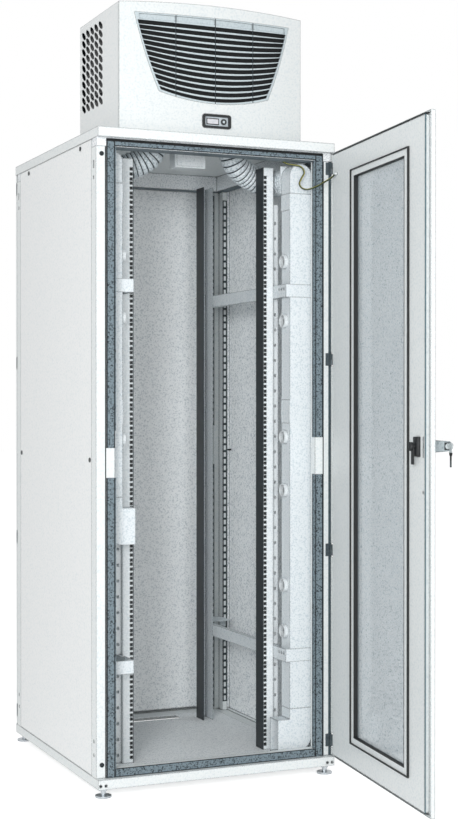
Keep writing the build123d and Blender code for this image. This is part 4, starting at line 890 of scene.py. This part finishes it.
# Air hoses: wire-ribbed, from under the roof unit round the rails to the ducts' hoods
HOSE_RADIUS = 43.5
HOSE_SIDES = 48
HOSE_LINE_DETAIL = 40
RIB_PITCH = 15.0
RIB_RISE = 3.5
RIB_SHARPNESS = 3
RIB_RINGS = 10
HOSE_ROUTES = {
    "left": [
        (-124, -195, 2034),
        (-124, -195, 1985),
        (-245, -160, 1937),
        (-325.5, -188, 1920),
        (-325.5, -314.7, 1920),
    ],
    "right": [
        (150, -195, 2034),
        (150, -195, 1985),
        (245, -160, 1937),
        (315, -188, 1920),
        (315, -314.7, 1920),
    ],
}
for side_name, route in HOSE_ROUTES.items():
    hose_line = smooth_line([Vector(p) * MM for p in route], HOSE_LINE_DETAIL)
    hose_line = even_line(hose_line, RIB_PITCH / RIB_RINGS * MM)
    ribs = [
        (HOSE_RADIUS - RIB_RISE * (0.5 + 0.5 * cos(2 * pi * i / RIB_RINGS)) ** RIB_SHARPNESS) * MM
        for i in range(len(hose_line))
    ]
    hose = tube(
        f"ribbed_hose_{side_name}", hose_line, ribs, HOSE_SIDES, hose_skin, "cabinet",
        RIB_RINGS,
    )
    if side_name == "right":
        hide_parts("air_hoses")

# Earth lead from the top frame's stud to the door's stud
LEAD_DIAMETER = 5.6
LEAD_SIDES = 16
LEAD_LINE_DETAIL = 24
LEAD_STEP = 2.5
LEAD_POINTS = [Vector(p) * MM for p in (
    (229.0, -365.0, 1988.0),
    (248.0, -365.5, 1976.0),
    (268.0, -368.0, 1964.0),
    (291.0, -388.0, 1959.0),
    (310.0, -394.0, 1955.0),
    (320.0, -397.0, 1936.0),
    (307.0, -398.0, 1917.0),
    (296.0, -401.0, 1899.0),
    (302.0, -407.0, 1884.0),
    (317.0, -415.0, 1878.0),
    (331.0, -424.0, 1882.0),
    (345.0, -447.0, 1889.0),
    (358.0, -470.0, 1901.0),
)]
LEAD_POINTS += [on_door(52, -15, 1913), on_door(64, -12, 1922)]
lead_line = smooth_line(LEAD_POINTS, LEAD_LINE_DETAIL)
lead_line = even_line(lead_line, LEAD_STEP * MM)
lead_radii = [LEAD_DIAMETER / 2 * MM] * len(lead_line)
lead = tube("earth_lead", lead_line, lead_radii, LEAD_SIDES, earth_sleeve, None)
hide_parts("earth_cable")
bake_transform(lead)

# Left and right pieces, which mirror each other
SIDES = (("left", -1), ("right", 1))

# Housing of the roof unit: folded sheet, open in front and below, with slanted oval vents in
# both sides and the condensate spout at the back
UNIT_LOW, UNIT_TOP = 2027.0, 2427.0
UNIT_HALF, UNIT_FRONT, UNIT_BACK = 310.0, -377.0, -5.0
UNIT_SHEET = 2.0
housing = bar("unit_housing", (-UNIT_HALF, UNIT_FRONT, UNIT_LOW), (UNIT_HALF, UNIT_BACK, UNIT_TOP))
cut_away(housing, lambda face: face.normal.y < -FACING or face.normal.z < -FACING)
give_wall(housing, UNIT_SHEET)

# One long oval cutter per vent, through both sides at once
VENT_COLUMNS, VENT_PITCH_Y, VENT_FIRST_Y = 5, 42.0, -44.0
VENT_ROWS, VENT_PITCH_Z, VENT_LOW = 10, 26.5, 2152.0
VENT_HALF_LENGTH, VENT_HALF_WIDTH, VENT_REACH = 23.0, 9.3, 660.0
VENT_CORNERS = 12
VENT_TURN = Matrix.Rotation(radians(-58), 3, "X") @ Matrix.Rotation(pi / 2, 3, "Y")
cutters = []
clear_selection()
for column in range(VENT_COLUMNS):
    for row in range(VENT_ROWS):
        y = VENT_FIRST_Y - VENT_PITCH_Y * column
        z = VENT_LOW + VENT_PITCH_Z * row
        bpy.ops.mesh.primitive_cylinder_add(
            vertices=VENT_CORNERS, radius=1, depth=1, location=(0, y * MM, z * MM)
        )
        cutter = bpy.context.object
        cutter.scale = (VENT_HALF_LENGTH * MM, VENT_HALF_WIDTH * MM, VENT_REACH * MM)
        cutter.rotation_mode = "QUATERNION"
        cutter.rotation_quaternion = VENT_TURN.to_quaternion()
        cutters.append(cutter)
vent_cutter = cutters[0]
join(vent_cutter, cutters[1:])
settle(vent_cutter)
face_out(vent_cutter)
apply_modifier(housing, "BOOLEAN", operation="DIFFERENCE", object=vent_cutter, solver="EXACT")
bpy.data.objects.remove(vent_cutter)

SPOUT_PLACE = (-250.0, 10.0, 2042.0)
SPOUT_RADIUS, SPOUT_LENGTH = 6.5, 30.0
SPOUT_WALL, SPOUT_BORE_DEPTH = 1.6, 26.0
spout = round_bar(SPOUT_PLACE, SPOUT_RADIUS, SPOUT_LENGTH, -pi / 2)
bore = {"TRANSFORM_OT_translate": {"value": (0, -SPOUT_BORE_DEPTH * MM, 0)}}
edit_faces(
    spout,
    lambda face: face.normal.y > FACING,
    (bpy.ops.mesh.inset, {"thickness": SPOUT_WALL * MM}),
    (bpy.ops.mesh.extrude_region_move, bore),
)
join(housing, [spout])
seat(housing, housing_coat, "cabinet")
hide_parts("ac_housing")

# Baffle pans on the fan deck behind the vents of both sides
BAFFLE_INNER, BAFFLE_OUTER = 295.0, 300.0
BAFFLE_FRONT, BAFFLE_BACK = -244.0, -16.0
BAFFLE_LOW, BAFFLE_TOP = 2131.0, 2414.0
BAFFLE_SHEET = 1.2
for side_name, mirror in SIDES:
    near, far = sorted((mirror * BAFFLE_INNER, mirror * BAFFLE_OUTER))
    baffle = bar(
        f"vent_baffle_{side_name}",
        (near, BAFFLE_FRONT, BAFFLE_LOW),
        (far, BAFFLE_BACK, BAFFLE_TOP),
    )
    cut_away(baffle, lambda face: face.normal.x * mirror < -FACING)
    give_wall(baffle, BAFFLE_SHEET)
    seat(baffle, cast_lacquer, "cabinet")


def door_trim(name, low, high, radius_mm, material, border_mm=None):
    """A rubber bead or a strip of painted gap shade on the front door, or a ring where it has a
    border, made between two corners on the closed door and turned to the open one."""
    trim = bar(name, low, high)
    if border_mm:
        open_ring(trim, 1, border_mm)
    round_edges(trim, radius_mm)
    if border_mm:
        face_out(trim)
    turn_to_door(trim)
    seat(trim, material, "front_door")


# Rubber profiles of the window: a proud one round the trim, a flat lip round the pane
TRIM_LEFT, TRIM_RIGHT, TRIM_LOW, TRIM_HIGH = 192.5, 647.5, 137.5, 1916.5
WINDOW_LEFT, WINDOW_RIGHT, WINDOW_LOW, WINDOW_HIGH = 218.0, 618.0, 160.0, 1894.0
TRIM_FACE, PANE_FACE = -6.7, 5.9
PROFILE_LAP, PROFILE_LOCK_LAP = 0.2, 3.5
PROFILE_RISE, PROFILE_ROOT = 5.0, 1.6
LIP_LAP, LIP_RISE = 1.0, 0.8
door_trim(
    "window_profile_outer",
    (TRIM_LEFT - PROFILE_LAP, TRIM_FACE - PROFILE_RISE, TRIM_LOW - PROFILE_LAP),
    (TRIM_RIGHT + PROFILE_LOCK_LAP, TRIM_FACE + PROFILE_ROOT, TRIM_HIGH + PROFILE_LAP),
    0.8, rubber, border_mm=3.4,
)
door_trim(
    "window_profile_inner",
    (WINDOW_LEFT - LIP_LAP, TRIM_FACE - LIP_RISE, WINDOW_LOW - LIP_LAP),
    (WINDOW_RIGHT + LIP_LAP, PANE_FACE, WINDOW_HIGH + LIP_LAP),
    0.5, rubber, border_mm=2.6,
)

# Rubber bead along the head of the door's inner sheet, and slate strips of painted shade in the
# gaps at its two sides
DOOR_BEADS_AND_GAP_SHADE = {
    "door_head_bead": ((22.0, -4.4, 1987.6), (758.0, 1.0, 1991.6), 1.2, rubber),
    "door_edge_gap_shade": ((758.1, -3.6, 66.0), (762.1, -2.05, 1988.0), 0.5, gap_shade_slate),
    "door_hinge_gap_shade": ((18.2, -3.6, 66.0), (21.8, -2.05, 1988.0), 0.5, gap_shade_slate),
}
for name, bead in DOOR_BEADS_AND_GAP_SHADE.items():
    door_trim(name, *bead)

# Perforated strips on the necks of the rear posts: one ring, repeated up the post
STRIP_INNER, STRIP_OUTER = 363.6, 380.4
STRIP_FRONT, STRIP_BACK = 368.4, 370.0
STRIP_LOW, STRIP_PITCH, STRIP_CELLS = 90.0, 25.0, 74
STRIP_BORDER = 3.8
for side_name, mirror in SIDES:
    near, far = sorted((mirror * STRIP_INNER, mirror * STRIP_OUTER))
    strip = bar(
        f"rear_post_strip_{side_name}",
        (near, STRIP_FRONT, STRIP_LOW),
        (far, STRIP_BACK, STRIP_LOW + STRIP_PITCH),
    )
    open_ring(strip, 1, STRIP_BORDER)
    apply_modifier(
        strip, "ARRAY", count=STRIP_CELLS, use_relative_offset=False, use_constant_offset=True,
        constant_offset_displace=(0, 0, STRIP_PITCH * MM),
    )
    seat(strip, strip_steel, "cabinet")

# Black sheets of painted shade behind the square holes of the front rails
HOLE_SHADE_INNER, HOLE_SHADE_OUTER = 227.2, 240.0
HOLE_SHADE_FRONT, HOLE_SHADE_BACK = -279.7, -278.2
HOLE_SHADE_LOW, HOLE_SHADE_TOP = 62.0, 1960.0
for side_name, mirror in SIDES:
    hole_shade = bar(
        f"rail_hole_shade_{side_name}",
        (mirror * HOLE_SHADE_INNER, HOLE_SHADE_FRONT, HOLE_SHADE_LOW),
        (mirror * HOLE_SHADE_OUTER, HOLE_SHADE_BACK, HOLE_SHADE_TOP),
    )
    round_edges(hole_shade, 0.3)
    face_out(hole_shade)
    seat(hole_shade, rubber, "cabinet")

# Threshold between the front posts: an angle of folded sheet with a foam strip on its face
THRESHOLD_HALF, THRESHOLD_FRONT, THRESHOLD_BACK = 339.8, -430.0, -402.0
THRESHOLD_LOW, THRESHOLD_TOP = 57.0, 83.0
THRESHOLD_SHEET = 1.5
STRIP_FOAM_THICKNESS, STRIP_FOAM_LOW, STRIP_FOAM_TOP = 3.0, 57.2, 83.6
threshold = bar(
    "front_threshold",
    (-THRESHOLD_HALF, THRESHOLD_FRONT, THRESHOLD_LOW),
    (THRESHOLD_HALF, THRESHOLD_BACK, THRESHOLD_TOP),
)
cut_away(
    threshold,
    lambda face: face.normal.z < -FACING or face.normal.y > FACING or abs(face.normal.x) > FACING,
)
give_wall(threshold, THRESHOLD_SHEET)
seat(threshold, powder_coat, "cabinet")
threshold_foam = bar(
    "front_threshold_foam",
    (-THRESHOLD_HALF, THRESHOLD_FRONT - STRIP_FOAM_THICKNESS, STRIP_FOAM_LOW),
    (THRESHOLD_HALF, THRESHOLD_FRONT, STRIP_FOAM_TOP),
)
round_edges(threshold_foam, 0.8)
seat(threshold_foam, threshold_coat, "cabinet")

# Lock of the front door, on the closed door's axes: escutcheon outside, a low domed case and a
# knob inside
KNOB_PLACE = (707.0, -24.0, 1074.0)
KNOB_RADIUS, KNOB_DEPTH = 12.5, 9.0
lock_fittings = bar("front_lock_fittings", (690.0, 12.0, 1045.0), (734.0, 20.0, 1103.0))
round_edges(lock_fittings, 5.0, 4)
lock_case = bar("lock_case_inside", (697.0, -12.7, 1046.0), (730.0, -4.7, 1101.0))
edit_faces(
    lock_case,
    lambda face: face.normal.y < -FACING,
    (bpy.ops.mesh.inset, {"thickness": 5 * MM}),
    (bpy.ops.transform.translate, {"value": (0, -2.5 * MM, 0)}),
)
round_edges(lock_case, 1.2)
lock_knob = round_bar(KNOB_PLACE, KNOB_RADIUS, KNOB_DEPTH, pi / 2)
edit_faces(
    lock_knob,
    lambda face: abs(face.normal.y) > FACING,
    (bpy.ops.mesh.inset, {"thickness": 2.5 * MM}),
    (bpy.ops.mesh.inset, {"thickness": 5 * MM}),
)
round_edges(lock_knob, 1.0)
join(lock_fittings, [lock_case, lock_knob])
face_out(lock_fittings)
turn_to_door(lock_fittings)
seat(lock_fittings, black_abs, "front_door", 35)
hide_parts("front_lock_case")

# Floor, sky and lamps

FLOOR_SIZE = 60
FLOOR_GLOW = 0.62
SKY_ON_OBJECT, SKY_SEEN = 0.46, 1.0
LAMP_TARGET = (0, 0, 1.1)
LAMP_SIZE = 2.2


def make_ground():
    """Plain pale floor, white to the camera where nothing shades it."""
    material, tree = new_material("studio_floor")
    rays = add(tree, "ShaderNodeLightPath")
    place = add(tree, "ShaderNodeTexCoord").outputs["Object"]
    cloud = add(tree, "ShaderNodeTexNoise", {"Scale": 0.6, "Detail": 1.0}, {"Vector": place})
    tint = add(
        tree,
        "ShaderNodeMix",
        {"data_type": "RGBA", 6: linear("FBFBFB"), 7: linear("F8F8F8")},
        {0: cloud.outputs["Fac"]},
    )
    matt = add(tree, "ShaderNodeBsdfDiffuse", {}, {"Color": tint.outputs[2]})
    seen = add(
        tree,
        "ShaderNodeMath",
        {"operation": "MAXIMUM"},
        {0: rays.outputs["Is Camera Ray"], 1: rays.outputs["Is Glossy Ray"]},
    )
    lift = add(
        tree,
        "ShaderNodeMath",
        {"operation": "MULTIPLY", 1: FLOOR_GLOW},
        {0: seen.outputs["Value"]},
    )
    glow = add(
        tree,
        "ShaderNodeEmission",
        {"Color": linear("FFFFFF")},
        {"Strength": lift.outputs["Value"]},
    )
    both = add(
        tree,
        "ShaderNodeAddShader",
        {},
        {0: matt.outputs["BSDF"], 1: glow.outputs["Emission"]},
    )
    add(tree, "ShaderNodeOutputMaterial", {}, {"Surface": both.outputs["Shader"]})
    return material


def soft_lamp(name, place, power):
    """A round soft box that looks at the middle of the cabinet."""
    data = bpy.data.lights.new(name, "AREA")
    data.shape = "DISK"
    data.size = LAMP_SIZE
    data.energy = power
    lamp = bpy.data.objects.new(name, data)
    lamp.location = place
    look = Vector(LAMP_TARGET) - Vector(place)
    lamp.rotation_euler = look.to_track_quat("-Z", "Y").to_euler()
    bpy.context.scene.collection.objects.link(lamp)


clear_selection()
bpy.ops.mesh.primitive_plane_add(size=FLOOR_SIZE, location=(0, 0, 0))
floor = bpy.context.object
floor.name = "studio_floor"
dress(floor, make_ground())
clear_selection()

# Even sky: dim on the object, white to the camera, through glass and in reflections
world = bpy.data.worlds.new("studio")
bpy.context.scene.world = world
world.use_nodes = True
sky = world.node_tree
sky.nodes.clear()
rays = add(sky, "ShaderNodeLightPath")
seen = add(
    sky,
    "ShaderNodeMath",
    {"operation": "MAXIMUM"},
    {0: rays.outputs["Is Camera Ray"], 1: rays.outputs["Is Transmission Ray"]},
)
seen = add(
    sky,
    "ShaderNodeMath",
    {"operation": "MAXIMUM"},
    {0: seen.outputs["Value"], 1: rays.outputs["Is Glossy Ray"]},
)
level = add(
    sky,
    "ShaderNodeMapRange",
    {"To Min": SKY_ON_OBJECT, "To Max": SKY_SEEN},
    {"Value": seen.outputs["Value"]},
)
dome = add(
    sky,
    "ShaderNodeBackground",
    {"Color": linear("FFFFFF")},
    {"Strength": level.outputs["Result"]},
)
add(sky, "ShaderNodeOutputWorld", {}, {"Surface": dome.outputs["Background"]})

soft_lamp("key_softbox", (-3.6, -5.4, 2.2), 230)
soft_lamp("front_fill", (-0.8, -6.3, 1.6), 70)

bpy.context.scene.view_settings.view_transform = "Standard"
